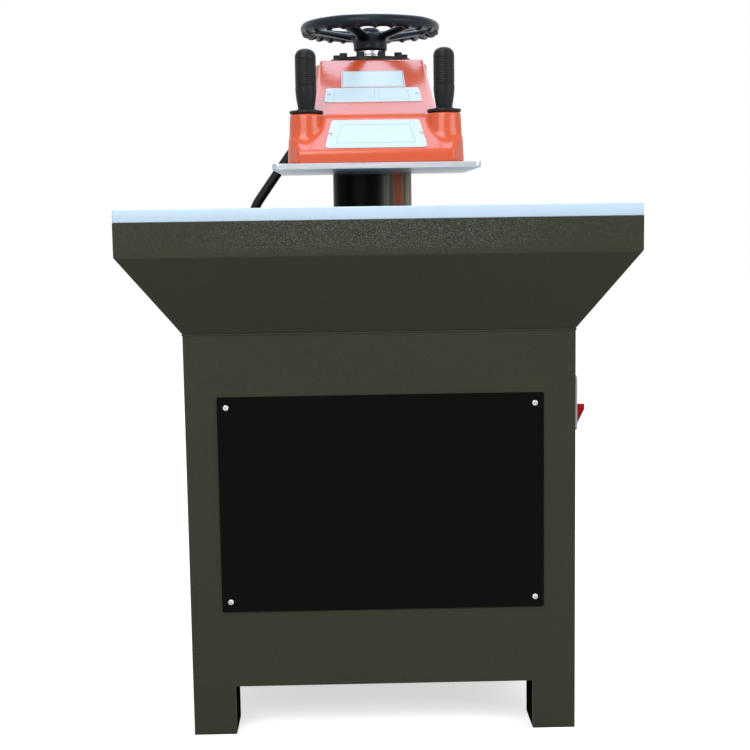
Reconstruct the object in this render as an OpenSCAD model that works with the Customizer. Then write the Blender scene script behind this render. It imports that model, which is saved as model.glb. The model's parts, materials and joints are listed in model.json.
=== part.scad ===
// Swing-arm hydraulic press that cuts leather with loose cutting dies.
// A welded cabinet carries the table. A column behind the table carries an
// arm with a striking plate, which swings over the die and is pulled down.
// Millimetres. Origin on the floor under the middle of the press, +Z up,
// the front faces -Y, and +X is the user's right.

/* [Table] */
// Width of the table along its front edge
table_w = 900; // [800:10:1100]
// Depth from the table's front edge to the heads of the rear cover screws
press_d = 760; // [740:10:900]
// Height of the cutting board's top above the floor
table_z = 954; // [900:1:1050]
// Thickness of the cutting board
board_t = 22; // [12:1:30]
// Thickness of the steel bed under the board
bed_t = 16; // [10:1:30]
// Height of the upright skirt below the board
skirt_h = 60; // [45:1:90]
// Height of the ribs under the bed
rib_h = 100; // [60:5:140]
// Thickness of the ribs
rib_t = 12; // [8:1:20]
// Distance between the ribs
rib_pitch = 210; // [120:10:260]

/* [Cabinet] */
// Distance of the cabinet's sides in from the table's side edges
side_setback = 102; // [60:1:130]
// Height at which the cabinet starts to widen to the table
cabinet_top_z = 734; // [690:1:780]
// Distance of the cabinet's front behind the table's front edge
front_setback = 84; // [50:1:110]
// Thickness of the cabinet's plates
plate_t = 6; // [4:1:10]
// Width of each leg
leg_w = 77; // [60:1:110]
// Depth of each leg
leg_d = 91; // [60:1:130]
// Height of the gap under the cabinet
leg_h = 90; // [60:1:130]
// Thickness of the foot plates
foot_t = 10; // [6:1:16]
// Diameter of the anchor holes in the feet
anchor_d = 18; // [12:1:24]

/* [Covers] */
// Width of the front and rear covers
cover_w = 582; // [500:2:620]
// Height of the covers
cover_h = 392; // [340:2:440]
// Height of the covers' lower edge
cover_z = 230; // [180:2:260]
// Thickness of the covers
cover_t = 3; // [2:0.5:5]
// Width of the rim that the cover laps over round its window
cover_lap = 36; // [30:1:60]
// Cover screws in from the cover's side edge
cover_inset_x = 16; // [12:1:25]
// Cover screws in from the cover's upper and lower edge
cover_inset_z = 19; // [12:1:25]
// Diameter of the cover screws
screw_d = 6; // [4:1:8]
// Diameter of the cover screw heads
screw_head_d = 11; // [8:0.5:14]
// Height of the cover screw heads
screw_head_h = 4; // [3:0.5:6]
// Length of each louvre in the rear cover
louvre_w = 90; // [50:5:110]
// Height of the air slot of a louvre
louvre_slot = 6; // [4:1:10]
// Height of a louvre's hood
louvre_h = 18; // [14:1:24]
// Columns of louvres
louvre_cols = 4; // [2:1:4]
// Rows of louvres
louvre_rows = 6; // [2:1:8]
// Sideways distance between louvres
louvre_pitch_x = 120; // [115:5:130]
// Upright distance between louvres
louvre_pitch_z = 34; // [28:1:40]

/* [Column and guide] */
// Distance of the column's axis ahead of the cabinet's back
column_ahead = 153; // [146:1:170]
// Distance of the cutting board's back edge ahead of the column's axis
board_gap = 120; // [112:1:140]
// Diameter of the column
column_d = 166; // [146:2:170]
// Bore of the hollow column
column_bore = 112; // [90:2:114]
// Height of the column's lower end
column_low = 590; // [580:2:640]
// Wall of the guide bushes
bush_t = 8; // [5:1:12]
// Height of each guide bush
bush_h = 60; // [40:2:80]
// Height of the lower bush's lower edge
bush_low = 655; // [655:5:720]
// Wall of the guide housing round the bushes
guide_wall = 14; // [10:1:18]
// Height of the guide housing's lower end
guide_low = 520; // [500:5:520]
// Width of the guide flange beyond the housing
guide_flange_w = 37; // [34:1:40]
// Thickness of the guide flange
guide_flange_t = 22; // [14:1:30]
// Height of the wiper ring on the deck
wiper_h = 12; // [6:1:12]
// Radial width of the wiper ring
wiper_w = 24; // [14:1:26]
// Diameter of the guide bolts
guide_bolt_d = 14; // [10:1:16]
// Number of guide bolts
guide_bolt_n = 6; // [3:3:6]
// Radial gap of parts that run in each other
run_clear = 0.05; // [0.02:0.01:0.1]
// Radial gap of parts that are seated in each other
seat_clear = 0.02; // [0.01:0.01:0.05]
// Gap between parts that pass without touching
pass_clear = 0.3; // [0.2:0.1:0.6]

/* [Hydraulic cylinder] */
// Bore of the cylinder
cylinder_bore = 120; // [100:2:130]
// Wall of the cylinder tube
cylinder_wall = 15; // [10:1:20]
// Inside length of the cylinder
cylinder_len = 260; // [240:5:290]
// Thickness of the cylinder's bottom
cylinder_end_t = 22; // [14:1:30]
// Thickness of the cylinder head
head_t = 30; // [20:1:40]
// Height of the head's spigot in the guide housing
head_spigot = 5; // [3:1:7]
// Height of the piston
piston_h = 50; // [36:1:60]
// Depth of the piston's seal grooves
piston_groove = 4; // [3:0.5:6]
// Room above the piston at rest
piston_room = 25; // [20:1:30]
// Diameter of the piston rod
rod_d = 60; // [54:2:70]
// Height of the piston rod's upper end
rod_top = 880; // [860:5:900]
// Depth of the threaded hole in the rod
rod_hole_len = 270; // [240:5:300]
// Diameter of the rod's spigot in the piston
rod_spigot_d = 36; // [28:1:44]
// Wire of the return spring
spring_wire = 10; // [6:1:12]
// Mean diameter of the return spring
spring_d = 84; // [70:2:90]
// Turns of the return spring
spring_turns = 8; // [5:1:9]

/* [Arm] */
// Height of the space between the board and the striking plate
die_gap = 67; // [64:1:90]
// Width of the striking plate
platen_w = 370; // [340:2:420]
// Depth of the striking plate
platen_d = 398; // [360:2:405]
// Thickness of the striking plate
platen_t = 10; // [8:1:20]
// Corner radius of the striking plate
platen_r = 12; // [4:1:25]
// Gap between the striking plate and the column
platen_gap = 7; // [6:1:16]
// Front of the casting behind the front of the striking plate
cast_inset = 12; // [6:1:20]
// Width of the casting's base
cast_w = 318; // [312:2:330]
// Draft of the casting's sides from its base to its shoulders
cast_draft = 2; // [1:1:6]
// Width of the bevel on the casting's front corners
corner_x = 20; // [10:1:24]
// Depth of the bevel on the casting's front corners
corner_y = 34; // [20:1:44]
// Height of the upright band at the casting's foot
band_h = 22; // [16:1:28]
// Height of the shoulders that carry the handle bosses
shoulder_h = 44; // [36:1:56]
// Run of the slope from the band up to the shoulders
shoulder_run = 40; // [25:1:60]
// Height of the nose, where the casting's slope starts
nose_h = 85; // [78:1:90]
// Backward lean of the nose's face
nose_lean = 14; // [6:1:24]
// Width of the casting's spine at its foot
spine_w = 236; // [220:2:240]
// Width of the casting's spine at its top
crest_w = 208; // [200:2:220]
// Height of the casting
arm_h = 219; // [190:1:240]
// Diameter of the hub round the column
hub_d = 236; // [224:2:246]
// Wall of the hollow casting
cast_wall = 26; // [18:1:30]
// Distance of the base's waist ahead of the column's axis
waist = 170; // [150:5:200]
// Height of the handle bosses above the casting's foot
boss_h = 90; // [84:1:100]
// Diameter of the handle bosses
boss_d = 61; // [54:1:64]
// Distance of the handle bosses from the middle
boss_x = 124; // [118:1:126]
// Distance of the handle bosses behind the casting's front
boss_back = 48; // [44:1:80]
// Diameter of the screws that hold the striking plate
platen_screw_d = 10; // [8:1:12]
// Length of the screws that hold the striking plate
platen_screw_len = 36; // [26:1:40]
// Head diameter of the screws that hold the striking plate
platen_screw_head = 18; // [15:1:20]
// Distance of the plate screws from the middle
platen_screw_x = 136; // [132:1:140]
// Front plate screws behind the casting's front
platen_screw_front = 56; // [50:1:70]
// Distance between the front and the rear plate screws
platen_screw_pitch = 190; // [160:5:200]

/* [Arm top] */
// Diameter of the top cap
cap_d = 168; // [164:2:176]
// Thickness of the top cap
cap_t = 11; // [8:1:16]
// Bolt circle of the top cap
cap_circle_d = 140; // [136:1:142]
// Number of cap bolts
cap_bolt_n = 10; // [4:1:12]
// Diameter of the cap bolts
cap_bolt_d = 10; // [8:1:12]
// Length of the cap bolts below their heads
cap_bolt_len = 45; // [35:1:60]
// Head diameter of the cap bolts
cap_head_d = 16; // [13:1:18]
// Width across the socket of the cap bolts
cap_socket = 8; // [6:1:9]
// Turn of the bolt circle from straight right
cap_turn = 0; // [0:1:59]
// Diameter of the adjusting screw
adjust_d = 36; // [30:1:40]
// Height of the adjusting screw's lower end
adjust_low = 720; // [690:5:740]
// Outer diameter of the thrust bearing
bearing_d = 61; // [54:1:66]
// Height of the thrust bearing
bearing_h = 17; // [12:1:22]

/* [Handwheel] */
// Outer diameter of the handwheel
wheel_d = 290; // [240:2:320]
// Thickness of the handwheel's rim
rim_d = 25; // [20:1:30]
// Height of the rim's middle above the hub's foot
wheel_rise = 47; // [36:1:60]
// Diameter of the handwheel's hub
wheel_hub_d = 70; // [60:1:80]
// Height of the handwheel's hub
wheel_hub_h = 28; // [22:1:32]
// Bore of the handwheel's hub
wheel_bore = 30; // [24:1:34]
// Number of spokes
spoke_n = 5; // [3:1:5]
// Turn of the first spoke from straight right
spoke_turn = 31; // [0:1:119]
// Number of finger bumps under the rim
finger_n = 24; // [18:3:30]
// Diameter of a finger bump
finger_d = 18; // [14:1:20]
// Depth of a finger bump below the rim
finger_h = 4; // [2:0.5:5]
// Thickness of a spoke
spoke_d = 16; // [12:1:20]
// Thread diameter of the wheel nut
nut_d = 22; // [16:1:24]
// Width across the flats of the wheel nut
nut_flats = 36; // [30:1:41]
// Height of the wheel nut
nut_h = 14; // [10:1:18]

/* [Handles] */
// Diameter of the flange under a grip
grip_flange_d = 61; // [50:1:64]
// Gap round a grip's flange in the casting
grip_flange_gap = 2; // [1:0.5:3]
// Thickness of the flange under a grip
grip_flange_t = 5; // [3:1:8]
// Diameter of a grip
grip_d = 38; // [34:1:42]
// Diameter of a grip's neck
grip_neck_d = 29; // [24:1:32]
// Height of a grip
grip_h = 101; // [90:1:120]
// Height of a grip's taper above its neck
grip_taper = 38; // [30:1:48]
// Rounding of a grip's upper edge
grip_round = 2; // [1:0.5:3]
// Diameter of the stud that holds a grip
grip_stud_d = 12; // [10:1:16]
// Length of the stud that holds a grip
grip_stud_len = 30; // [22:1:40]
// Diameter of the button in a grip's top
button_d = 33; // [26:1:33]
// Height of the button above the grip
button_h = 9; // [6:0.5:10]
// Length of the button inside the grip
button_in = 14; // [10:1:20]
// Travel of a button
button_travel = 4; // [2:0.5:5]

/* [Plates on the arm] */
// Thickness of the plates
badge_t = 1.2; // [0.8:0.1:2]
// Corner radius of the plates
badge_r = 4; // [2:0.5:6]
// Lower width of the nose plate
nose_badge_w = 185; // [150:1:188]
// Upper width of the nose plate
nose_badge_top = 152; // [120:1:160]
// Height of the nose plate
nose_badge_h = 48; // [40:1:52]
// Nose plate above the band
nose_badge_up = 6; // [2:1:8]
// Lower width of the slope plate
slope_badge_w = 176; // [150:1:180]
// Upper width of the slope plate
slope_badge_top = 163; // [140:1:166]
// Length of the slope plate
slope_badge_h = 96; // [70:1:100]
// Slope plate up from the nose's edge
slope_badge_up = 77; // [50:1:80]
// Width of the upper plate
upper_badge_w = 124; // [100:1:130]
// Length of the upper plate
upper_badge_h = 104; // [80:1:110]
// Gap between the slope plate and the upper plate
badge_gap = 2; // [1:0.5:6]
// Head diameter of the plate screws
badge_screw_d = 7; // [5:0.5:9]
// Height of the plate screw heads
badge_screw_h = 1.8; // [1:0.1:3]
// Plate screws in from the plate's side edge
badge_screw_in = 8; // [6:0.5:12]

/* [Drive] */
// Width of the oil tank
tank_w = 440; // [400:5:460]
// Depth of the oil tank
tank_d = 225; // [210:5:235]
// Height of the oil tank
tank_h = 250; // [200:5:270]
// Wall of the oil tank
tank_wall = 4; // [3:1:6]
// Gap between the tank and the cabinet's front and left plates
tank_gap = 14; // [8:1:20]
// Diameter of the oil filler
filler_d = 40; // [30:1:50]
// Diameter of the motor
motor_d = 150; // [130:2:160]
// Length of the motor
motor_len = 210; // [180:5:220]
// Length of the motor's fan cowl
cowl_len = 48; // [36:1:60]
// Height of the motor's axis above the tank
motor_axis_h = 90; // [84:1:100]
// Number of cooling fins on the motor
fin_n = 24; // [12:2:32]
// Height of the cooling fins
fin_h = 6; // [4:1:8]
// Thickness of the cooling fins
fin_t = 3; // [2:0.5:4]
// Distance of the motor's axis behind the tank's front
shaft_back = 94; // [88:1:100]
// Diameter of the motor's shaft
shaft_d = 28; // [22:1:30]
// Outer diameter of the bell housing
bell_d = 116; // [106:2:126]
// Length of the bell housing
bell_len = 70; // [60:1:80]
// Wall of the bell housing
bell_wall = 9; // [6:1:12]
// Diameter of the coupling inside the bell housing
coupling_d = 72; // [60:1:78]
// Width of the pump along its shaft
pump_w = 70; // [60:1:80]
// Depth and height of the pump
pump_s = 88; // [76:2:96]
// Bore of the pump for its shaft
pump_shaft_d = 20; // [16:1:24]
// Width of the valve block
valve_w = 60; // [50:1:70]
// Depth of the valve block
valve_d = 60; // [46:1:60]
// Valve block above the pressure pipe
valve_over = 26; // [20:1:34]
// Diameter of the valve spool
spool_d = 16; // [12:1:20]
// Travel of the valve spool
spool_travel = 4; // [2:0.5:5]
// Height of the spool above the tank
spool_axis_h = 96; // [80:1:100]
// Diameter of the solenoid
solenoid_d = 46; // [38:1:52]
// Length of the solenoid
solenoid_len = 64; // [50:1:76]
// Outer diameter of the oil pipes
pipe_d = 16; // [12:1:18]

/* [Electrics] */
// Height of the main switch box's middle
switch_z = 591; // [560:1:640]
// Distance of the main switch behind the cabinet's front
switch_back = 96; // [70:1:120]
// Depth of the switch box along the side wall
switch_w = 64; // [54:1:80]
// Height of the switch box
switch_h = 100; // [90:1:120]
// Thickness of the switch box
switch_t = 14; // [10:1:18]
// Corner radius of the switch box
switch_r = 8; // [4:1:12]
// Distance of the handle's axis below the box's middle
handle_drop = 22; // [10:1:26]
// Diameter of the handle's hub
handle_d = 24; // [20:1:30]
// Length of the handle's lever from its axis
handle_len = 28; // [24:1:34]
// Width of the lever
handle_w = 14; // [10:1:16]
// Thickness of the handle
handle_t = 17; // [12:1:20]
// Diameter of the handle's shaft
handle_shaft_d = 10; // [8:1:12]
// Diameter of the switch body that passes the side wall
switch_body_d = 30; // [24:1:40]
// Depth of the switch body inside the cabinet
switch_body_len = 34; // [24:1:40]
// Width of the control panel's back plate
panel_w = 190; // [160:5:220]
// Height of the control panel's back plate
panel_h = 230; // [200:5:240]
// Thickness of the control panel's back plate
panel_t = 3; // [2:0.5:5]
// Depth of the parts on the control panel
panel_d = 62; // [50:1:80]
// Height of the control panel's lower edge
panel_z = 300; // [280:5:310]
// Control panel behind the cabinet's front
panel_back = 60; // [30:5:90]
// Diameter of the mains cable gland
gland_d = 25; // [20:1:32]
// Height of the mains cable gland
gland_z = 190; // [150:5:260]
// Mains cable gland ahead of the cabinet's back
gland_ahead = 150; // [110:5:200]

/* [Conduit] */
// Diameter of the conduit from the cabinet to the arm
conduit_d = 20; // [14:1:24]
// Height of the conduit's gland above the casting's foot
conduit_up = 76; // [70:1:100]
// Tilt of the conduit's gland below level
conduit_tilt = 40; // [30:1:50]
// Fall of the conduit between its bends
conduit_fall = 54.5; // [52:0.5:58]
// Radius of the conduit's bends
conduit_bend = 90; // [80:2:110]
// Depth that the conduit reaches below the bed
conduit_tail = 96; // [60:2:120]
// Conduit behind the column's axis
conduit_y = 30; // [10:1:50]
// Conduit's place in the deck, left of the middle
conduit_x = 258; // [254:1:270]
// Depth of the gland's spigot in the casting
gland_in = 20; // [14:1:26]
// Distance of the gland's pad from the hub
gland_pad = 15; // [15:1:20]
// Diameter of the pad for the gland
gland_pad_d = 40; // [36:1:46]
// Length of the gland outside the casting
gland_nose = 24; // [18:1:30]
// Gap round the conduit in its grommet
conduit_clear = 2.5; // [2:0.5:5]
// Wall of the grommet in the deck
grommet_wall = 4; // [3:0.5:6]

/* [Hidden] */
$fn = 96;
e = 1;

// Places along the depth
front_y = -press_d/2;
rear_y = press_d/2 - cover_t - screw_head_h;
cab_front_y = front_y + front_setback;
col_y = rear_y - column_ahead;
board_back_y = col_y - board_gap;
board_d = board_back_y - front_y;
in_front_y = cab_front_y + plate_t;
in_rear_y = rear_y - plate_t;

// Places across the width
half_table = table_w/2;
half_cab = half_table - side_setback;
half_in = half_cab - plate_t;
leg_in = half_cab - leg_w;

// Heights of the table and the cabinet
bed_z = table_z - board_t;
bed_under = bed_z - bed_t;
skirt_z = bed_z - skirt_h;
floor_z = leg_h + plate_t;
flare_h = skirt_z - cabinet_top_z;
front_tilt = atan(front_setback/flare_h);
side_tilt = atan(side_setback/flare_h);

// Covers and their windows
window_w = cover_w - 2*cover_lap;
window_h = cover_h - 2*cover_lap;
cover_screw_x = cover_w/2 - cover_inset_x;
cover_screw_low = cover_z + cover_inset_z;
cover_screw_high = cover_z + cover_h - cover_inset_z;

// Guide and cylinder
column_r = column_d/2;
bush_r = column_r + run_clear + bush_t;
guide_bore_r = bush_r + seat_clear;
guide_r = guide_bore_r + guide_wall;
guide_flange_r = guide_r + guide_flange_w;
guide_bolt_r = guide_r + guide_flange_w/2;
guide_bolt_head_h = 0.65*guide_bolt_d;
rib_back_y = min(board_back_y, col_y - guide_flange_r - pass_clear);
cyl_top = guide_low - head_t;
cyl_in_low = cyl_top - cylinder_len;
cyl_r = cylinder_bore/2 + cylinder_wall;
piston_top = cyl_top - piston_room;
piston_low = piston_top - piston_h;
port_z = cyl_top - piston_room/2;

// Heights of the arm
platen_z = table_z + die_gap;
cast_z = platen_z + platen_t;
band_z = cast_z + band_h;
shoulder_z = cast_z + shoulder_h;
nose_z = cast_z + nose_h;
boss_z = cast_z + boss_h;
arm_top = cast_z + arm_h;
cap_z = arm_top + cap_t;
wheel_z = cap_z + bearing_h + pass_clear;
wheel_top = wheel_z + wheel_hub_h;
rim_z = wheel_z + wheel_rise;
rim_r = (wheel_d - rim_d)/2;

// Places of the arm along the depth
platen_y = col_y - column_r - platen_gap - platen_d;
cast_y = platen_y + cast_inset;
nose_y = cast_y + nose_lean;
crest_y = col_y - hub_d/2;
boss_y = cast_y + boss_back;
waist_y = col_y - waist;
pocket_back = col_y - column_r - cast_wall;
nose_tilt = atan(nose_lean/(nose_h - band_h));
slope_tilt = atan((arm_top - nose_z)/(crest_y - nose_y));

// Handles
grip_z = boss_z + grip_flange_t;

// Drive, on the tank at the front left of the cabinet
tank_x = -half_in + tank_gap;
tank_y = in_front_y + tank_gap;
tank_top = floor_z + tank_h;
shaft_y = tank_y + shaft_back;
shaft_z = tank_top + motor_axis_h;
motor_x = tank_x + tank_gap;
bell_x = motor_x + motor_len;
pump_x = bell_x + bell_len;
valve_x = pump_x + pump_w/2;
valve_y = tank_y + tank_d - valve_d/2 - tank_wall;
valve_h = port_z + valve_over - tank_top;
spool_z = tank_top + spool_axis_h;
spool_len = valve_w - 2*spool_travel - 2*pass_clear;

// Electrics on the right wall
switch_y = cab_front_y + switch_back;
handle_z = switch_z - handle_drop;
gland_y = rear_y - gland_ahead;
panel_y = cab_front_y + panel_back;

// Conduit route: down out of the arm to the left, and upright through the deck
route_y = col_y + conduit_y;
conduit_z = cast_z + conduit_up;
gland_x = -hub_d/2 - gland_pad;
gland_pad_len = (gland_pad + hub_d/2 - column_r)/cos(conduit_tilt);
start = [gland_x, conduit_z] - gland_nose*[cos(conduit_tilt), sin(conduit_tilt)];
bend_1 = start - conduit_d/2*[cos(conduit_tilt), sin(conduit_tilt)];
bend_1_end = bend_point(bend_1, conduit_tilt, conduit_fall);
straight = (conduit_x + bend_1_end[0] - conduit_bend*(1 - sin(conduit_fall)))/cos(conduit_fall);
bend_2 = bend_1_end - straight*[cos(conduit_fall), sin(conduit_fall)];
function bend_point(p, a, b) = p - conduit_bend*[sin(b) - sin(a), cos(a) - cos(b)];
route = concat(
  [start],
  [for (k = [0:4]) bend_point(bend_1, conduit_tilt, conduit_tilt + (conduit_fall - conduit_tilt)*k/4)],
  [for (k = [1:3]) bend_1_end - straight*k/4*[cos(conduit_fall), sin(conduit_fall)]],
  [for (k = [0:6]) bend_point(bend_2, conduit_fall, conduit_fall + (90 - conduit_fall)*k/6)],
  [[-conduit_x, bed_under], [-conduit_x, bed_under - conduit_tail]]
);

// Curved tube, one ring of points at each centre in a list
function unit(v) = v/norm(v);
function along(c, i) = unit(c[min(i + 1, len(c) - 1)] - c[max(i - 1, 0)]);
function ring(c, t, up, r, n) = let (a = unit(cross(up, t)), b = cross(t, a))
  [for (k = [0:n - 1]) c + r*(cos(360*k/n)*a + sin(360*k/n)*b)];
module tube(c, r, n, up) {
  m = len(c);
  points = [for (i = [0:m - 1]) each ring(c[i], along(c, i), up, r, n)];
  walls = [for (i = [0:m - 2], k = [0:n - 1]) let (j = (k + 1)%n)
    each [[i*n + k, (i + 1)*n + k, (i + 1)*n + j], [i*n + k, (i + 1)*n + j, i*n + j]]];
  ends = [[for (k = [0:n - 1]) k], [for (k = [n - 1:-1:0]) (m - 1)*n + k]];
  polyhedron(points, concat(walls, ends));
}

// Flat shapes stood up: drawn as x and z, or as y and z
module stand_y(y, depth) {
  translate([0, y + depth, 0]) rotate([90, 0, 0]) linear_extrude(depth) children();
}
module stand_x(x, depth) {
  translate([x, 0, 0]) rotate([90, 0, 90]) linear_extrude(depth) children();
}

// Round shapes about the column's axis, drawn as radius and height
module round_column() {
  translate([0, col_y, 0]) rotate_extrude() children();
}
module band(r_in, r_out, low, high) {
  translate([r_in, low]) square([r_out - r_in, high - low]);
}

// Rectangle with round corners, centred
module round_rect(w, h, r) {
  square([w - 2*r, h], center = true);
  square([w, h - 2*r], center = true);
  for (x = [-1, 1], y = [-1, 1]) translate([x*(w/2 - r), y*(h/2 - r)]) circle(r);
}

// Socket head screw, head up, seat at the origin
module socket_screw(d, head_d, head_h, length, socket) {
  difference() {
    union() {
      cylinder(d = head_d, h = head_h);
      translate([0, 0, -length]) cylinder(d = d - 2*seat_clear, h = length + e/2);
    }
    translate([0, 0, head_h*0.4]) cylinder(d = socket/cos(30), h = head_h, $fn = 6);
  }
}

// Outline of the cabinet below its flare, with the gap between the legs
module cabinet_outline() {
  polygon([
    [-half_cab, 0], [-leg_in, 0], [-leg_in, leg_h], [leg_in, leg_h], [leg_in, 0], [half_cab, 0],
    [half_cab, cabinet_top_z], [-half_cab, cabinet_top_z]
  ]);
}
module flare_outline() {
  polygon([
    [-half_cab, cabinet_top_z], [half_cab, cabinet_top_z], [half_table, skirt_z], [half_table, bed_z],
    [-half_table, bed_z], [-half_table, skirt_z]
  ]);
}

// Window behind a cover, and the tapped holes of its screws
module cover_window() {
  translate([-window_w/2, cover_z + cover_lap]) square([window_w, window_h]);
  cover_holes();
}
module cover_holes() {
  for (x = [-1, 1], z = [cover_screw_low, cover_screw_high])
    translate([x*cover_screw_x, z]) circle(d = screw_d);
}

// Folded sheet of the flare: skirt above, slope below, from its outer points
module folded(top, knee, foot, low_z, tilt) {
  polygon([
    [top, bed_z], [knee, skirt_z], [foot, low_z], [foot + plate_t/cos(tilt), low_z],
    [knee + plate_t, skirt_z + plate_t*tan(tilt/2)], [top + plate_t, bed_z]
  ]);
}
module flare_inside() {
  polygon([
    [front_y + plate_t, bed_z], [front_y + plate_t, skirt_z + plate_t*tan(front_tilt/2)],
    [cab_front_y + plate_t/cos(front_tilt), cabinet_top_z], [in_rear_y, cabinet_top_z], [in_rear_y, bed_z]
  ]);
}

// Welded cabinet
module front_plate() {
  color("#3f4033") stand_y(cab_front_y, plate_t) difference() {
    cabinet_outline();
    cover_window();
  }
}
module rear_plate() {
  color("#3f4033") stand_y(in_rear_y, plate_t) difference() {
    union() {
      cabinet_outline();
      flare_outline();
    }
    cover_window();
  }
}
module side_outline() {
  polygon([
    [in_front_y, 0], [cab_front_y + leg_d, 0], [cab_front_y + leg_d, leg_h], [rear_y - leg_d, leg_h],
    [rear_y - leg_d, 0], [in_rear_y, 0], [in_rear_y, cabinet_top_z], [in_front_y, cabinet_top_z]
  ]);
}
module left_side_plate() {
  color("#3f4033") stand_x(-half_cab, plate_t) side_outline();
}
module right_side_plate() {
  color("#3f4033") stand_x(half_in, plate_t) difference() {
    side_outline();
    translate([switch_y, handle_z]) circle(d = switch_body_d + 2*pass_clear);
    translate([gland_y, gland_z]) circle(d = gland_d);
  }
}
module base_plate() {
  color("#3f4033") translate([-half_in, in_front_y, leg_h])
    cube([2*half_in, in_rear_y - in_front_y, plate_t]);
}
module hopper_front() {
  color("#414237") intersection() {
    stand_x(-half_table, table_w) folded(front_y, front_y, cab_front_y, cabinet_top_z, front_tilt);
    stand_y(front_y - e, front_setback + 4*plate_t) flare_outline();
  }
}
module hopper_left() {
  color("#414237") intersection() {
    stand_y(front_y, press_d) folded(-half_table, -half_table, -half_cab, cabinet_top_z, side_tilt);
    stand_x(-half_table - e, table_w) flare_inside();
  }
}
module hopper_right() {
  mirror([1, 0, 0]) hopper_left();
}
module leg_plates() {
  color("#3f4033") for (x = [-leg_in - plate_t, leg_in], y = [in_front_y, rear_y - leg_d])
    translate([x, y, 0]) cube([plate_t, leg_d - plate_t, leg_h]);
}
module foot_plates() {
  w = leg_w - 2*plate_t;
  d = leg_d - plate_t;
  color("#55564c") for (x = [-half_in, leg_in + plate_t], y = [in_front_y, rear_y - leg_d])
    translate([x, y, 0]) difference() {
      cube([w, d, foot_t]);
      translate([w/2, d/2, -e]) cylinder(d = anchor_d, h = foot_t + 2*e);
    }
}

// Table
module bed_plate() {
  color("#8a8d90") translate([plate_t - half_table, front_y + plate_t, bed_under])
    cube([table_w - 2*plate_t, board_d - plate_t, bed_t]);
}
module bed_ribs() {
  color("#55564c") for (i = [-1:1]) intersection() {
    stand_x(i*rib_pitch - rib_t/2, rib_t) flare_inside();
    translate([-half_table, front_y, bed_under - rib_h]) cube([table_w, rib_back_y - front_y, rib_h]);
  }
}
module cutting_board() {
  color("#d5e6f5") translate([-half_table, front_y, bed_z]) cube([table_w, board_d, board_t]);
}
module deck_plate() {
  color("#414237") difference() {
    translate([plate_t - half_table, board_back_y, bed_under])
      cube([table_w - 2*plate_t, in_rear_y - board_back_y, bed_t]);
    translate([0, col_y, bed_under - e]) cylinder(r = guide_r + seat_clear, h = bed_t + 2*e);
    guide_bolt_places() translate([0, 0, bed_under - e]) cylinder(d = guide_bolt_d, h = bed_t + 2*e);
    translate([-conduit_x, route_y, bed_under - e])
      cylinder(d = conduit_d + 2*conduit_clear + 2*grommet_wall, h = bed_t + 2*e);
  }
}

// Covers
module front_cover() {
  color("#161614") stand_y(cab_front_y - cover_t, cover_t) difference() {
    translate([0, cover_z + cover_h/2]) round_rect(cover_w, cover_h, cover_t);
    cover_holes();
  }
}
module louvre_places() {
  for (i = [0:louvre_cols - 1], k = [0:louvre_rows - 1])
    translate([
      (i - (louvre_cols - 1)/2)*louvre_pitch_x, 0,
      cover_z + cover_h/2 + (k - (louvre_rows - 1)/2)*louvre_pitch_z
    ]) children();
}
module louvre_hood() {
  face = rear_y + cover_t;
  lip = face + screw_head_h - cover_t/2;
  stand_x(-louvre_w/2, louvre_w) polygon([
    [face - cover_t/2, louvre_h], [face, louvre_h], [lip + cover_t/4, 0], [lip, 0],
    [face, louvre_slot], [face - cover_t/2, louvre_slot]
  ]);
}
module rear_cover() {
  color("#161614") {
    difference() {
      stand_y(rear_y, cover_t) difference() {
        translate([0, cover_z + cover_h/2]) round_rect(cover_w, cover_h, cover_t);
        cover_holes();
      }
      louvre_places() translate([-louvre_w/2, rear_y - e, 0]) cube([louvre_w, cover_t + 2*e, louvre_slot]);
    }
    louvre_places() louvre_hood();
  }
}
module cover_screws() {
  grip = cover_t + plate_t;
  color("#c8cacc") for (x = [-1, 1], z = [cover_screw_low, cover_screw_high]) {
    translate([x*cover_screw_x, cab_front_y - cover_t, z]) rotate([90, 0, 0])
      socket_screw(screw_d, screw_head_d, screw_head_h, grip, screw_d*0.8);
    translate([x*cover_screw_x, rear_y + cover_t, z]) rotate([-90, 0, 0])
      socket_screw(screw_d, screw_head_d, screw_head_h, grip, screw_d*0.8);
  }
}

// Guide of the column
module guide_bolt_places() {
  for (i = [0:guide_bolt_n - 1]) translate([0, col_y, 0])
    rotate(360*i/guide_bolt_n) translate([guide_bolt_r, 0, 0]) children();
}
module guide_housing() {
  color("#4b4d50") difference() {
    round_column() {
      band(guide_bore_r, guide_r, guide_low, bed_z);
      band(guide_bore_r, guide_flange_r, bed_under - guide_flange_t, bed_under);
      band(guide_bore_r, guide_flange_r - guide_flange_w/2, guide_low, guide_low + guide_flange_t);
    }
    guide_bolt_places() translate([0, 0, bed_under - guide_flange_t - e])
      cylinder(d = guide_bolt_d, h = guide_flange_t + 2*e);
  }
}
module guide_bushes() {
  color("#b08a4a") round_column() {
    band(column_r + run_clear, bush_r, bed_z - bush_h, bed_z);
    band(column_r + run_clear, bush_r, bush_low, bush_low + bush_h);
  }
}
module wiper_ring() {
  color("#222222") round_column() polygon([
    [column_r + pass_clear, bed_z], [column_r + wiper_w, bed_z], [column_r + wiper_w, bed_z + wiper_h/2],
    [column_r + wiper_w/3, bed_z + wiper_h], [column_r + pass_clear, bed_z + wiper_h]
  ]);
}
module guide_bolts() {
  color("#77797c") guide_bolt_places() translate([0, 0, bed_z]) {
    cylinder(d = 1.5*guide_bolt_d/cos(30), h = guide_bolt_head_h, $fn = 6);
    translate([0, 0, -bed_t - guide_flange_t])
      cylinder(d = guide_bolt_d - 2*seat_clear, h = bed_t + guide_flange_t + e);
  }
}

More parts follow.
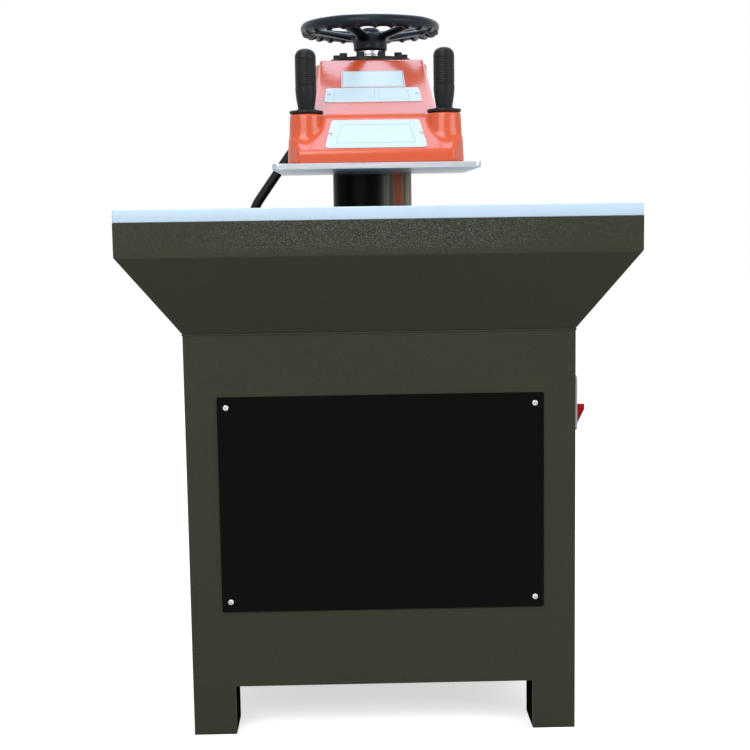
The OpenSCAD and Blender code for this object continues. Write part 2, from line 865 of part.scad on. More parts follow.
// Hydraulic cylinder that pulls the arm down
module cylinder_head() {
  color("#77797c") round_column() {
    band(rod_d/2 + run_clear, cyl_r + guide_wall, cyl_top, guide_low);
    band(rod_d/2 + run_clear, guide_bore_r - seat_clear, guide_low - e, guide_low + head_spigot);
  }
}
module cylinder_tube() {
  color("#4b4d50") difference() {
    round_column() {
      band(cylinder_bore/2, cyl_r, cyl_in_low - cylinder_end_t, cyl_top);
      band(0, cyl_r, cyl_in_low - cylinder_end_t, cyl_in_low);
    }
    translate([valve_x, col_y - cyl_r - e, port_z]) rotate([-90, 0, 0]) cylinder(d = pipe_d/2, h = cyl_r);
  }
}
module return_spring() {
  low = cyl_in_low + spring_wire/2 + pass_clear;
  high = piston_low - spring_wire/2 - pass_clear;
  steps = 8*spring_turns;
  echo(spring_self_gap = (high - low)/spring_turns - spring_wire);
  color("#9aa0a6") tube(
    [for (i = [0:steps]) [
      spring_d/2*cos(45*i), col_y + spring_d/2*sin(45*i), low + (high - low)*i/steps
    ]],
    spring_wire/2, 6, [0, 0, 1]
  );
}
module piston() {
  land = piston_h/5;
  seal_r = cylinder_bore/2 - piston_groove;
  color("#9aa0a6") round_column() difference() {
    band(rod_spigot_d/2 + seat_clear, cylinder_bore/2 - run_clear, piston_low, piston_top);
    for (i = [1, 3]) band(seal_r, cylinder_bore/2, piston_low + i*land, piston_low + (i + 1)*land);
  }
}
module piston_rod() {
  color("#c2c5c8") round_column() difference() {
    union() {
      band(0, rod_spigot_d/2, piston_low, piston_top + e);
      band(0, rod_d/2, piston_top, rod_top);
    }
    band(0, adjust_d/2 + run_clear, rod_top - rod_hole_len, rod_top + e);
  }
}

// Column and arm
module column() {
  color("#2b2a28") difference() {
    round_column() band(column_bore/2, column_r, column_low, arm_top);
    cap_bolt_places() translate([0, 0, cap_z - cap_bolt_len - e])
      cylinder(d = cap_bolt_d, h = cap_bolt_len + e);
  }
}
module base_plan() {
  polygon([
    [corner_x - cast_w/2, cast_y], [cast_w/2 - corner_x, cast_y], [cast_w/2, cast_y + corner_y],
    [cast_w/2, waist_y], [hub_d/2, col_y], [-hub_d/2, col_y], [-cast_w/2, waist_y],
    [-cast_w/2, cast_y + corner_y]
  ]);
}
module shoulder_side() {
  polygon([
    [cast_y - e, cast_z], [cast_y - e, band_z], [cast_y, band_z], [cast_y + shoulder_run, shoulder_z],
    [waist_y, shoulder_z], [col_y, band_z], [col_y, cast_z]
  ]);
}
module spine_side() {
  polygon([
    [cast_y, cast_z], [cast_y, band_z], [nose_y, nose_z], [crest_y, arm_top],
    [col_y, arm_top], [col_y, cast_z]
  ]);
}
module draft(low_w, low_z, high_w, high_z) {
  polygon([[-low_w/2, low_z], [low_w/2, low_z], [high_w/2, high_z], [-high_w/2, high_z]]);
}
module cast_pocket() {
  front = nose_y + cast_wall;
  roof = nose_z - cast_wall/cos(slope_tilt);
  intersection() {
    stand_x(-spine_w/2, spine_w) polygon([
      [front, cast_z - e], [front, roof + cast_wall*tan(slope_tilt)],
      [pocket_back, roof + (pocket_back - nose_y)*tan(slope_tilt)], [pocket_back, cast_z - e]
    ]);
    stand_y(cast_y, col_y - cast_y)
      draft(spine_w - 2*cast_wall, cast_z - e, crest_w - 2*cast_wall, arm_top);
  }
}
module gland_place() {
  translate([gland_x, route_y, conduit_z]) rotate([0, -90 - conduit_tilt, 0]) children();
}
module boss_places() {
  for (x = [-boss_x, boss_x]) translate([x, boss_y, 0]) children();
}
module platen_screw_places() {
  for (x = [-platen_screw_x, platen_screw_x], y = [0, platen_screw_pitch])
    translate([x, cast_y + platen_screw_front + y, 0]) children();
}
module arm_casting() {
  color("#dc5a32") difference() {
    union() {
      intersection() {
        linear_extrude(arm_top + e) base_plan();
        stand_x(-cast_w, 2*cast_w) shoulder_side();
        stand_y(cast_y - e, col_y - cast_y + 2*e) draft(cast_w, cast_z, cast_w - 2*cast_draft, shoulder_z);
      }
      intersection() {
        stand_x(-cast_w, 2*cast_w) spine_side();
        stand_y(cast_y - e, col_y - cast_y + 2*e) draft(spine_w, cast_z, crest_w, arm_top);
      }
      translate([0, col_y, cast_z]) cylinder(d = hub_d, h = arm_h);
      boss_places() translate([0, 0, cast_z + e]) cylinder(d = boss_d, h = boss_h - e);
      gland_place() translate([0, 0, -gland_pad_len]) cylinder(d = gland_pad_d, h = gland_pad_len);
    }
    cast_pocket();
    translate([0, col_y, cast_z - e]) cylinder(r = column_r + seat_clear, h = arm_h + 2*e);
    boss_places() translate([0, 0, boss_z]) cylinder(r = grip_flange_d/2 + grip_flange_gap, h = arm_h);
    boss_places() translate([0, 0, boss_z - grip_stud_len]) cylinder(d = grip_stud_d, h = grip_stud_len + e);
    platen_screw_places() translate([0, 0, cast_z - e])
      cylinder(d = platen_screw_d, h = platen_screw_len - platen_t + 2*e);
    gland_place() translate([0, 0, -gland_in - e]) cylinder(d = conduit_d, h = gland_in + 2*e);
  }
}
module platen() {
  color("#c4c8cc") difference() {
    translate([0, platen_y + platen_d/2, platen_z]) linear_extrude(platen_t)
      round_rect(platen_w, platen_d, platen_r);
    platen_screw_places() translate([0, 0, platen_z]) {
      translate([0, 0, -e]) cylinder(d = platen_screw_d, h = platen_t + 2*e);
      countersink(seat_clear);
    }
  }
}
module countersink(gap) {
  h = (platen_screw_head - platen_screw_d)/2;
  translate([0, 0, -gap]) cylinder(d1 = platen_screw_head + 2*gap, d2 = platen_screw_d, h = h + gap);
}
module platen_screws() {
  color("#9aa0a6") platen_screw_places() translate([0, 0, platen_z]) {
    countersink(0);
    cylinder(d = platen_screw_d - 2*seat_clear, h = platen_screw_len);
  }
}

// Top of the arm
module cap_bolt_places() {
  for (i = [0:cap_bolt_n - 1]) translate([0, col_y, 0])
    rotate(cap_turn + 360*i/cap_bolt_n) translate([cap_circle_d/2, 0, 0]) children();
}
module top_cap() {
  color("#2b2a28") difference() {
    round_column() band(adjust_d/2 + pass_clear, cap_d/2, arm_top, cap_z);
    cap_bolt_places() translate([0, 0, arm_top - e]) cylinder(d = cap_bolt_d, h = cap_t + 2*e);
  }
}
module top_cap_bolts() {
  color("#222222") cap_bolt_places() translate([0, 0, cap_z])
    socket_screw(cap_bolt_d, cap_head_d, cap_bolt_d, cap_bolt_len, cap_socket);
}
module thrust_bearing() {
  groove = bearing_h/4;
  color("#c8cacc") round_column() difference() {
    band(adjust_d/2 + run_clear, bearing_d/2, cap_z + pass_clear/2, wheel_z - pass_clear/2);
    band(bearing_d/2 - groove/2, bearing_d, cap_z + bearing_h/2 - groove/2, cap_z + bearing_h/2 + groove/2);
  }
}

// Handwheel that sets the arm's height
module adjusting_screw() {
  color("#9aa0a6") round_column() {
    band(0, adjust_d/2, adjust_low, wheel_z);
    band(0, wheel_bore/2 - seat_clear, wheel_z - e, wheel_top);
    band(0, nut_d/2, wheel_top - e, wheel_top + nut_h + e);
  }
}
module handwheel() {
  foot = wheel_hub_d/2 - spoke_d/2;
  foot_z = wheel_top - spoke_d/2;
  run = rim_r - foot;
  rise = rim_z - foot_z;
  finger_z = rim_z - rim_d/2 + finger_d/2 - finger_h;
  color("#17181a") difference() {
    union() {
      round_column() {
        translate([rim_r, rim_z]) circle(d = rim_d);
        band(0, wheel_hub_d/2, wheel_z, wheel_top);
      }
      for (i = [0:finger_n - 1]) translate([0, col_y, finger_z]) rotate(360*(i + 0.5)/finger_n)
        translate([rim_r, 0, 0]) sphere(d = finger_d);
      for (i = [0:spoke_n - 1]) translate([0, col_y, foot_z]) rotate(spoke_turn + 360*i/spoke_n)
        translate([foot, 0, 0]) rotate([0, 90 - atan(rise/run), 0])
          cylinder(d1 = spoke_d, d2 = 0.8*spoke_d, h = norm([run, rise]));
    }
    translate([0, col_y, wheel_z - e]) cylinder(d = wheel_bore, h = wheel_hub_h + 2*e);
  }
}
module wheel_nut() {
  color("#9aa0a6") translate([0, col_y, wheel_top]) difference() {
    cylinder(d = nut_flats/cos(30), h = nut_h, $fn = 6);
    translate([0, 0, -e]) cylinder(d = nut_d + 2*seat_clear, h = nut_h + 2*e);
  }
}

// Handles with their push buttons
module handle_flanges() {
  color("#1c1c1c") boss_places() translate([0, 0, boss_z]) difference() {
    cylinder(d = grip_flange_d, h = grip_flange_t);
    translate([0, 0, -e]) cylinder(d = grip_stud_d, h = grip_flange_t + 2*e);
  }
}
module grip(x) {
  r = grip_d/2;
  stud_r = grip_stud_d/2 - seat_clear;
  low = -grip_stud_len - grip_flange_t + e;
  color("#2d3032") translate([x, boss_y, grip_z]) rotate_extrude() difference() {
    union() {
      band(0, stud_r, low, e);
      polygon([
        [0, 0], [grip_neck_d/2, 0], [r, grip_taper], [r, grip_h - grip_round],
        [r - grip_round, grip_h], [0, grip_h]
      ]);
      translate([0, grip_h - grip_round]) intersection() {
        translate([r - grip_round, 0]) circle(grip_round);
        square([r, grip_round]);
      }
    }
    band(0, button_d/2, grip_h - button_in - button_travel - e, grip_h + e);
  }
}
module left_grip() {
  grip(-boss_x);
}
module right_grip() {
  grip(boss_x);
}
module button(x) {
  r = button_d/2 - run_clear;
  dome = (r*r + button_h*button_h)/(2*button_h);
  color("#2d3032") translate([x, boss_y, grip_z + grip_h]) rotate_extrude() union() {
    band(0, r, -button_in, 0);
    intersection() {
      translate([0, button_h - dome]) circle(dome);
      square([r, button_h]);
    }
  }
}
module left_button() {
  button(-boss_x);
}
module right_button() {
  button(boss_x);
}

// Plates on the arm's front, left blank
module on_nose() {
  translate([0, cast_y, band_z]) rotate([-nose_tilt, 0, 0]) children();
}
module on_slope() {
  translate([0, nose_y, nose_z]) rotate([slope_tilt - 90, 0, 0]) children();
}
module badge(low_w, high_w, low, h) {
  lean = atan((low_w - high_w)/2/h);
  foot = low_w/2 - badge_r*tan(45 + lean/2);
  head = high_w/2 - badge_r*tan(45 - lean/2);
  out = badge_r*cos(lean);
  up = badge_r*sin(lean);
  stand_y(-badge_t, badge_t) {
    polygon([
      [-foot, low], [foot, low],
      [foot + out, low + badge_r + up], [head + out, low + h - badge_r + up],
      [head, low + h], [-head, low + h],
      [-head - out, low + h - badge_r + up], [-foot - out, low + badge_r + up]
    ]);
    for (s = [-1, 1]) {
      translate([s*foot, low + badge_r]) circle(badge_r);
      translate([s*head, low + h - badge_r]) circle(badge_r);
    }
  }
}
module name_plate() {
  color("#e4e9ee") on_nose() badge(nose_badge_w, nose_badge_top, nose_badge_up, nose_badge_h);
}
module slope_plates() {
  color("#e4e9ee") on_slope() {
    badge(slope_badge_w, slope_badge_top, slope_badge_up, slope_badge_h);
    badge(upper_badge_w, upper_badge_w, slope_badge_up + slope_badge_h + badge_gap, upper_badge_h);
  }
}
module badge_screw() {
  rotate([90, 0, 0]) intersection() {
    cylinder(d = badge_screw_d, h = badge_screw_h);
    translate([0, 0, badge_screw_h - badge_screw_d]) sphere(badge_screw_d);
  }
}
module plate_screws() {
  nose_mid = (nose_badge_w + nose_badge_top)/4 - badge_screw_in;
  slope_mid = (slope_badge_w + slope_badge_top)/4 - badge_screw_in;
  color("#aab0b6") for (s = [-1, 1]) {
    on_nose() translate([s*nose_mid, -badge_t, nose_badge_up + nose_badge_h/2]) badge_screw();
    on_slope() translate([s*slope_mid, -badge_t, slope_badge_up + slope_badge_h/2]) badge_screw();
  }
}

// Oil tank, motor and pump
module oil_tank() {
  color("#6d7074") difference() {
    translate([tank_x, tank_y, floor_z]) cube([tank_w, tank_d, tank_h]);
    translate([tank_x + tank_wall, tank_y + tank_wall, floor_z + tank_wall])
      cube([tank_w - 2*tank_wall, tank_d - 2*tank_wall, tank_h - 2*tank_wall]);
    translate([tank_x + tank_w - filler_d, tank_y + filler_d, tank_top - tank_wall - e])
      cylinder(d = filler_d, h = tank_wall + 2*e);
  }
}
module along_shaft(x) {
  translate([x, shaft_y, shaft_z]) rotate([0, 90, 0]) children();
}
module motor_body() {
  body_r = motor_d/2 - fin_h;
  foot_w = 0.8*motor_d;
  color("#5b6f86") difference() {
    union() {
      along_shaft(motor_x) cylinder(d = motor_d, h = cowl_len);
      along_shaft(motor_x + cowl_len - e) cylinder(r = body_r, h = motor_len - cowl_len + e);
      along_shaft(motor_x + cowl_len - e) for (i = [0:fin_n - 1]) rotate(360*(i + 0.5)/fin_n)
        translate([body_r - fin_h, -fin_t/2, 0]) cube([2*fin_h, fin_t, motor_len - cowl_len - fin_h]);
      translate([motor_x + cowl_len + fin_h, shaft_y - foot_w/2, tank_top])
        cube([motor_len - cowl_len - 3*fin_h, foot_w, motor_axis_h - 0.8*body_r]);
    }
    along_shaft(motor_x - e) cylinder(r = shaft_d/2 + run_clear, h = motor_len + 2*e);
  }
}
module bell_housing() {
  color("#4b4d50") difference() {
    along_shaft(bell_x) cylinder(d = bell_d, h = bell_len);
    along_shaft(bell_x - e) cylinder(d = bell_d - 2*bell_wall, h = bell_len + 2*e);
    translate([bell_x + bell_len/3, shaft_y - bell_d, shaft_z - bell_d/8])
      cube([bell_len/3, bell_d, bell_d/4]);
  }
}
module pump_body() {
  color("#9aa0a6") difference() {
    translate([pump_x, shaft_y, shaft_z]) rotate([0, 90, 0]) linear_extrude(pump_w)
      round_rect(pump_s, pump_s, pump_s/6);
    along_shaft(pump_x - e) cylinder(r = pump_shaft_d/2 + run_clear, h = pump_w*0.8);
  }
}
module drive_shaft() {
  end = 0.8*pump_w - 2*e;
  color("#77797c") {
    along_shaft(motor_x + e) cylinder(d = shaft_d, h = motor_len + bell_len/2);
    along_shaft(bell_x + bell_len/6) cylinder(d = coupling_d, h = bell_len*2/3);
    along_shaft(bell_x + bell_len/2) cylinder(d = pump_shaft_d, h = bell_len/2 + end);
  }
}
module valve_block() {
  color("#77797c") difference() {
    translate([valve_x - valve_w/2, valve_y - valve_d/2, tank_top]) cube([valve_w, valve_d, valve_h]);
    translate([valve_x - valve_w/2 - e, valve_y, spool_z]) rotate([0, 90, 0])
      cylinder(d = spool_d + 2*run_clear, h = valve_w + 2*e);
    translate([valve_x, valve_y + valve_d/4, port_z]) rotate([-90, 0, 0])
      cylinder(d = pipe_d/2, h = valve_d/4 + e);
  }
}
module valve_spool() {
  land = spool_len/5;
  neck = spool_d*0.35;
  color("#c2c5c8") translate([valve_x - spool_len/2, valve_y, spool_z]) rotate([0, 90, 0])
    rotate_extrude() difference() {
      band(0, spool_d/2, 0, spool_len);
      for (i = [1, 3]) band(neck, spool_d, i*land, (i + 1)*land);
    }
}
module solenoid() {
  color("#1f2a36") {
    translate([valve_x - valve_w/2 - solenoid_len, valve_y, spool_z]) rotate([0, 90, 0]) {
      cylinder(d = solenoid_d, h = solenoid_len);
      translate([-solenoid_d*0.7, -solenoid_d/4, solenoid_len/4])
        cube([solenoid_d/2, solenoid_d/2, solenoid_len/2]);
    }
    translate([valve_x + valve_w/2, valve_y, spool_z]) rotate([0, 90, 0])
      cylinder(d = 2*spool_d, h = spool_d/2);
  }
}
module oil_pipes() {
  back = valve_y + valve_d/2;
  pump_back = shaft_y + pump_s/2;
  inner_x = max(0, abs(valve_x) - pipe_d/2);
  run = col_y - sqrt(cyl_r*cyl_r - inner_x*inner_x) - back - seat_clear;
  color("#8d9196") {
    translate([valve_x, back, port_z]) rotate([-90, 0, 0]) difference() {
      cylinder(d = pipe_d, h = run);
      translate([0, 0, -e]) cylinder(d = pipe_d/2, h = run + 2*e);
    }
    translate([valve_x, shaft_y, tank_top]) cylinder(d = pipe_d, h = motor_axis_h - pump_s/2);
    translate([valve_x, pump_back, shaft_z]) rotate([-90, 0, 0])
      cylinder(d = pipe_d, h = valve_y - valve_d/2 - pump_back);
  }
}

// Electrics
module switch_base() {
  color("#c9ccd0") difference() {
    union() {
      translate([half_cab, switch_y, switch_z]) rotate([90, 0, 90]) linear_extrude(switch_t)
        round_rect(switch_w, switch_h, switch_r);
      translate([half_cab - plate_t - switch_body_len, switch_y, handle_z]) rotate([0, 90, 0])
        cylinder(d = switch_body_d, h = plate_t + switch_body_len + e);
    }
    translate([half_cab - plate_t, switch_y, handle_z]) rotate([0, 90, 0])
      cylinder(d = handle_shaft_d + 2*run_clear, h = plate_t + switch_t + e);
  }
}
module switch_handle() {
  x = half_cab + switch_t + pass_clear;
  tip = handle_w/2;
  head = 1.4*tip;
  toe = 0.75*tip - handle_len;
  thin = 0.15*handle_t;
  shaft = switch_t + plate_t/2;
  color("#b01818") translate([x, switch_y, handle_z]) rotate([90, 0, 90]) {
    cylinder(d = handle_d, h = 2*thin);
    intersection() {
      linear_extrude(handle_t) {
        polygon([[-tip, head], [-0.75*tip, toe], [0.75*tip, toe], [tip, head]]);
        translate([0, head]) circle(tip);
        translate([0, toe]) circle(0.75*tip);
      }
      stand_x(-tip - e, handle_w + 2*e) polygon([
        [-handle_len - e, -e], [head + tip + e, -e], [head + tip + e, handle_t + e],
        [head, handle_t + e], [toe, thin], [-handle_len - e, thin]
      ]);
    }
    translate([0, 0, e - shaft]) cylinder(d = handle_shaft_d, h = shaft);
  }
}
module control_panel() {
  row = panel_w/4;
  color("#b9bcc0") {
    translate([half_in - panel_t, panel_y, panel_z]) cube([panel_t, panel_w, panel_h]);
    for (i = [0:2]) translate([half_in - panel_d, panel_y + (i + 0.6)*row, panel_z + panel_h*0.5])
      cube([panel_d - panel_t + e/2, row*0.8, panel_h*0.36]);
    translate([half_in - panel_d/2, panel_y + row*0.6, panel_z + panel_h*0.1])
      cube([panel_d/2 - panel_t + e/2, panel_w - row*1.2, panel_h*0.2]);
  }
}
module mains_gland() {
  hex = 1.35*gland_d;
  nut = 0.3*gland_d;
  color("#26282b") translate([half_cab, gland_y, gland_z]) rotate([0, 90, 0]) difference() {
    union() {
      translate([0, 0, -plate_t - nut]) cylinder(d = gland_d - 2*seat_clear, h = plate_t + nut + e);
      cylinder(d = hex/cos(30), h = nut, $fn = 6);
      cylinder(d = gland_d*1.1, h = 0.8*gland_d);
      translate([0, 0, -plate_t - nut]) cylinder(d = hex/cos(30), h = nut, $fn = 6);
    }
    translate([0, 0, -plate_t - nut - e]) cylinder(d = gland_d/2, h = plate_t + 2*gland_d);
  }
}

// Conduit to the buttons on the arm
module conduit_gland() {
  hex_t = gland_nose*0.4;
  color("#26282b") gland_place() {
    translate([0, 0, -gland_in]) cylinder(d = conduit_d - 2*seat_clear, h = gland_in + e);
    cylinder(d = 1.5*conduit_d/cos(30), h = hex_t, $fn = 6);
    cylinder(d = 1.3*conduit_d, h = gland_nose - pass_clear);
  }
}
module conduit_grommet() {
  r = conduit_d/2 + conduit_clear;
  lip = grommet_wall;
  color("#1c1c1c") translate([-conduit_x, route_y, 0]) rotate_extrude() {
    band(r, r + grommet_wall - seat_clear, bed_under - lip, bed_z + lip);
    band(r, r + grommet_wall + lip, bed_z, bed_z + lip);
    band(r, r + grommet_wall + lip, bed_under - lip, bed_under);
  }
}
module conduit() {
  color("#1b1b1c") tube([for (p = route) [p[0], route_y, p[1]]], conduit_d/2, 12, [0, 1, 0]);
}

front_plate();
left_side_plate();
right_side_plate();
rear_plate();
base_plate();
hopper_front();
hopper_left();
hopper_right();
leg_plates();
foot_plates();
bed_plate();
bed_ribs();
cutting_board();
deck_plate();
front_cover();
rear_cover();
cover_screws();
guide_housing();
guide_bushes();
wiper_ring();
guide_bolts();
cylinder_head();
cylinder_tube();
return_spring();
piston();
piston_rod();
column();
arm_casting();
platen();
platen_screws();
top_cap();
top_cap_bolts();
thrust_bearing();
adjusting_screw();
handwheel();
wheel_nut();
handle_flanges();
left_grip();
right_grip();
left_button();
right_button();
name_plate();
slope_plates();
plate_screws();
oil_tank();
motor_body();
bell_housing();
pump_body();
drive_shaft();
valve_block();
valve_spool();
solenoid();
oil_pipes();
switch_base();
switch_handle();
control_panel();
mains_gland();
conduit_gland();
conduit_grommet();
conduit();
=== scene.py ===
"""Looks of a swing-arm press that cuts leather with loose dies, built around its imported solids."""
import json
import math

import bmesh
import bpy
import numpy as np
from bpy.props import FloatProperty, FloatVectorProperty, IntProperty, PointerProperty
from mathutils import Matrix, Vector


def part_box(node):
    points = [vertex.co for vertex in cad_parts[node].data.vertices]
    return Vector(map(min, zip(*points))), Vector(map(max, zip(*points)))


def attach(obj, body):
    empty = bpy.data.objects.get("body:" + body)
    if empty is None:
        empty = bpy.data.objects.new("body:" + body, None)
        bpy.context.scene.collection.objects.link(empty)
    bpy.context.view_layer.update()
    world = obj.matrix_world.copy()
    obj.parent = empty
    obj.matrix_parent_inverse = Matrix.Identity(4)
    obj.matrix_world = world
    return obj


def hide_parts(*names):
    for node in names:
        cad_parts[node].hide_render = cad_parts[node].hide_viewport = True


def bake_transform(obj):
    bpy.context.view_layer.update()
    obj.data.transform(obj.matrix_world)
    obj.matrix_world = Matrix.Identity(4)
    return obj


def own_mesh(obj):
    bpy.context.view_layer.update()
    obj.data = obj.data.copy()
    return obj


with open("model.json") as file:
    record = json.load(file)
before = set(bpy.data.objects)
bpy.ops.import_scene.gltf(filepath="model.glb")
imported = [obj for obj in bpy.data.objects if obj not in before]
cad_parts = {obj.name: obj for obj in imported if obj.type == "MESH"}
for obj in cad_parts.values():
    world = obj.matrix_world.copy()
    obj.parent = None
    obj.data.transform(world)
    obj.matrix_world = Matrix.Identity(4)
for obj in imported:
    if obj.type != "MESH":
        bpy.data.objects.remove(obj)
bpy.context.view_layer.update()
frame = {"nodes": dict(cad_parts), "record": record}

bl_info = {
    "name": "Leather die cutting press",
    "version": (1, 0, 0),
    "blender": (4, 5, 0),
    "location": "View3D > Sidebar > Press",
    "description": "Builds the visible pieces, finishes and stage of a swing-arm press",
    "category": "Object",
}

MM = 0.001

# Places that several pieces share, in millimetres, as in the part's source
COLUMN_Y = 220.0
ARM_BOTTOM = 1031.0
HUB_TOP = 1250.0
BOSS = (124.0, -208.0)
BOSS_TOP = 1121.0

# The arm's front seen from the side: two lines between points of (y, z), which meet at the nose
NOSE = (-208.0, 1117.5)
FACE = ((-257.0, 1050.5), NOSE)
SLOPE = (NOSE, (102.0, 1250.0))


def linear(*srgb):
    """Linear values of a colour that is written from 0 to 255."""
    s = np.array(srgb) / 255
    return tuple(float(c) for c in np.where(s <= 0.04045, s / 12.92, ((s + 0.055) / 1.055) ** 2.4))


def colour(name, words, *srgb):
    """A colour property whose default is written from 0 to 255."""
    return FloatVectorProperty(
        name=name, description=words, subtype="COLOR", size=3, min=0, max=1, default=linear(*srgb)
    )


def length(name, words, millimetres):
    """A length property whose default is written in millimetres."""
    return FloatProperty(
        name=name, description=words, unit="LENGTH", min=0, default=millimetres * MM
    )


def angle(name, words, degrees):
    """An angle property whose default is written in degrees."""
    return FloatProperty(
        name=name, description=words, unit="ROTATION", default=math.radians(degrees)
    )


def amount(name, words, default):
    """A property that is a plain number, such as a lamp's power in watts."""
    return FloatProperty(name=name, description=words, default=default)


class PressColours(bpy.types.PropertyGroup):
    """Colours of the finishes"""

    cabinet: colour("Cabinet paint", "Olive textured paint of the cabinet and table", 59, 60, 47)
    cover: colour("Covers", "Black satin of the front and rear covers", 9, 9, 8)
    arm: colour("Arm enamel", "Orange-red gloss of the casting", 220, 84, 38)
    board: colour("Cutting board", "Pale plastic of the board", 209, 231, 248)
    platen: colour("Striking plate", "Ground metal under the arm", 190, 194, 200)
    column: colour("Column", "Dark oiled steel of the column", 10, 11, 11)
    wheel: colour("Handwheel", "Blue-black of the wheel", 22, 31, 40)
    grip: colour("Grips", "Black plastic of the grips", 20, 22, 23)
    plate: colour("Bare plates", "Pale anodised plates on the arm", 206, 221, 226)
    conduit: colour("Conduit", "Black cover of the conduit", 16, 16, 17)
    ink: colour("Plate lines", "Blue-grey lines printed on the plates", 120, 150, 175)
    switch: colour("Switch handle", "Red plastic of the main switch", 178, 14, 10)
    steel: colour("Bright steel", "Screws and bearing", 190, 192, 195)


class PressSizes(bpy.types.PropertyGroup):
    """Sizes of the surfaces that stand for the solids"""

    casting_fillet: length("Casting fillet", "Blend between the arm's base, spine and bosses", 8)
    casting_edge: length("Casting edge", "Rounding of the arm's outer edges", 6)
    casting_cell: length("Casting cell", "Grid step of the arm's surface", 3.1)
    wheel_fillet: length("Wheel fillet", "Blend between the wheel's hub, spokes and rim", 9)
    wheel_cell: length("Wheel cell", "Grid step of the wheel's surface", 1.9)
    rib_pitch: length("Rib pitch", "Distance between the ribs of a grip", 3.75)
    rib_depth: length("Rib depth", "Depth of the ribs of a grip", 0.5)
    board_edge: length("Board edge", "Rounding of the board's edges", 1.5)
    cover_edge: length("Cover edge", "Rounding of the front cover's edges", 1.2)
    sheet_edge: length("Sheet edge", "Rounding of the cabinet's outer edges and folds", 2)
    platen_edge: length("Striking plate edge", "Rounding of the striking plate's edges", 1)
    switch_edge: length("Switch edge", "Rounding of the switch's edges", 1.5)
    bead: length("Weld bead", "Half width of the welds under the table", 1.7)
    finger_count: IntProperty(
        name="Finger valleys", description="Valleys under the wheel's rim", default=25, min=3
    )


class PressStage(bpy.types.PropertyGroup):
    """Camera and light"""

    place: FloatVectorProperty(
        name="Camera place", description="Where the camera stands", subtype="TRANSLATION",
        unit="LENGTH", default=(-0.0496, -2.6849, 0.9437),
    )
    yaw: angle("Yaw", "Turn to the right", 0.972)
    pitch: angle("Pitch", "Turn downwards", 6.84)
    roll: angle("Roll", "Lean to the right", 0.849)
    lens: amount("Lens", "Focal length in millimetres", 65.09)
    key: amount("Key light", "Power of the main lamp", 49)
    fill: amount("Fill light", "Power of the side lamp", 27)
    top: amount("Top light", "Power of the lamp above and behind", 38)
    over: amount("Over light", "Power of the small lamp overhead", 15)
    sky: amount("Sky", "Light from all round", 0.5)


# Meshes, in millimetres until they become a piece


def box_mm(node):
    """Lowest and highest corner of a solid in millimetres."""
    return [np.array(corner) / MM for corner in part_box(node)]


def round_box(node):
    """Foot height, radius and height of a round solid on the column's axis, in millimetres."""
    low, high = box_mm(node)
    return low[2], (high[0] - low[0]) / 2, high[2] - low[2]


def weld(points, quads):
    """Joins points that agree to a millionth of a millimetre, so that seams and poles close.

    A quad that loses a corner becomes a triangle.
    """
    key = np.round(points * 1e6).astype(np.int64)
    _, first, inverse = np.unique(key, axis=0, return_index=True, return_inverse=True)
    quads = inverse.reshape(-1)[quads]
    same = quads == np.roll(quads, -1, axis=1)
    lost = same.sum(axis=1)
    triangles = quads[lost == 1][~same[lost == 1]].reshape(-1, 3)
    return points[first], quads[lost == 0], triangles


def grid(points):
    """Quads over a grid of points of shape (rows, columns, 3), welded, facing rows x columns."""
    number = np.arange(points.shape[0] * points.shape[1]).reshape(points.shape[:2])
    quads = np.stack(
        [number[:-1, :-1], number[1:, :-1], number[1:, 1:], number[:-1, 1:]], axis=-1
    )
    return weld(points.reshape(-1, 3), quads.reshape(-1, 4))


def joined(*parts):
    """Several welded surfaces as one."""
    starts = np.cumsum([0] + [len(p[0]) for p in parts[:-1]])
    return (
        np.concatenate([p[0] for p in parts]),
        np.concatenate([p[1] + s for p, s in zip(parts, starts)]),
        np.concatenate([p[2] + s for p, s in zip(parts, starts)]),
    )


def placed(part, origin, right=(1, 0, 0), up=(0, 1, 0), out=(0, 0, 1)):
    """A surface carried from its own axes to a place."""
    return np.asarray(origin) + part[0] @ np.array([right, up, out], float), part[1], part[2]


def on_column(part, z):
    """A surface carried to a height on the column's axis."""
    return placed(part, (0, COLUMN_Y, z))


def revolved(profile, segments=64):
    """A profile of (radius, height) turned once about the axis.

    It runs from the bottom of the axis outwards and up to its top.
    """
    radius, height = np.asarray(profile, float).T
    turn = np.linspace(0, 2 * np.pi, segments + 1)[:, None]
    return grid(np.stack(np.broadcast_arrays(
        radius * np.round(np.cos(turn), 12), radius * np.round(np.sin(turn), 12), height
    ), axis=-1))


def eased(profile, radius, steps=4):
    """A profile whose inner corners are cut by quadratic arcs.

    An arc starts the radius away from its corner, but at most a share of the side, and a point on
    the straight just beyond each end of it keeps the flat faces flat.
    """
    share, beyond = 0.4, 1.2
    p = np.asarray(profile, float)
    before, corner, after = p[:-2], p[1:-1], p[2:]

    def towards(q, times=1.0):
        d = q - corner
        size = np.linalg.norm(d, axis=1, keepdims=True)
        return (corner + d * np.minimum(radius / size, share) * times)[:, None]

    t = np.linspace(0, 1, steps + 1)[None, :, None]
    start, end = towards(before), towards(after)
    arc = (1 - t) ** 2 * start + 2 * t * (1 - t) * corner[:, None] + t ** 2 * end
    arc = np.concatenate([towards(before, beyond), arc, towards(after, beyond)], axis=1)
    return np.concatenate([p[:1], arc.reshape(-1, 2), p[-1:]])


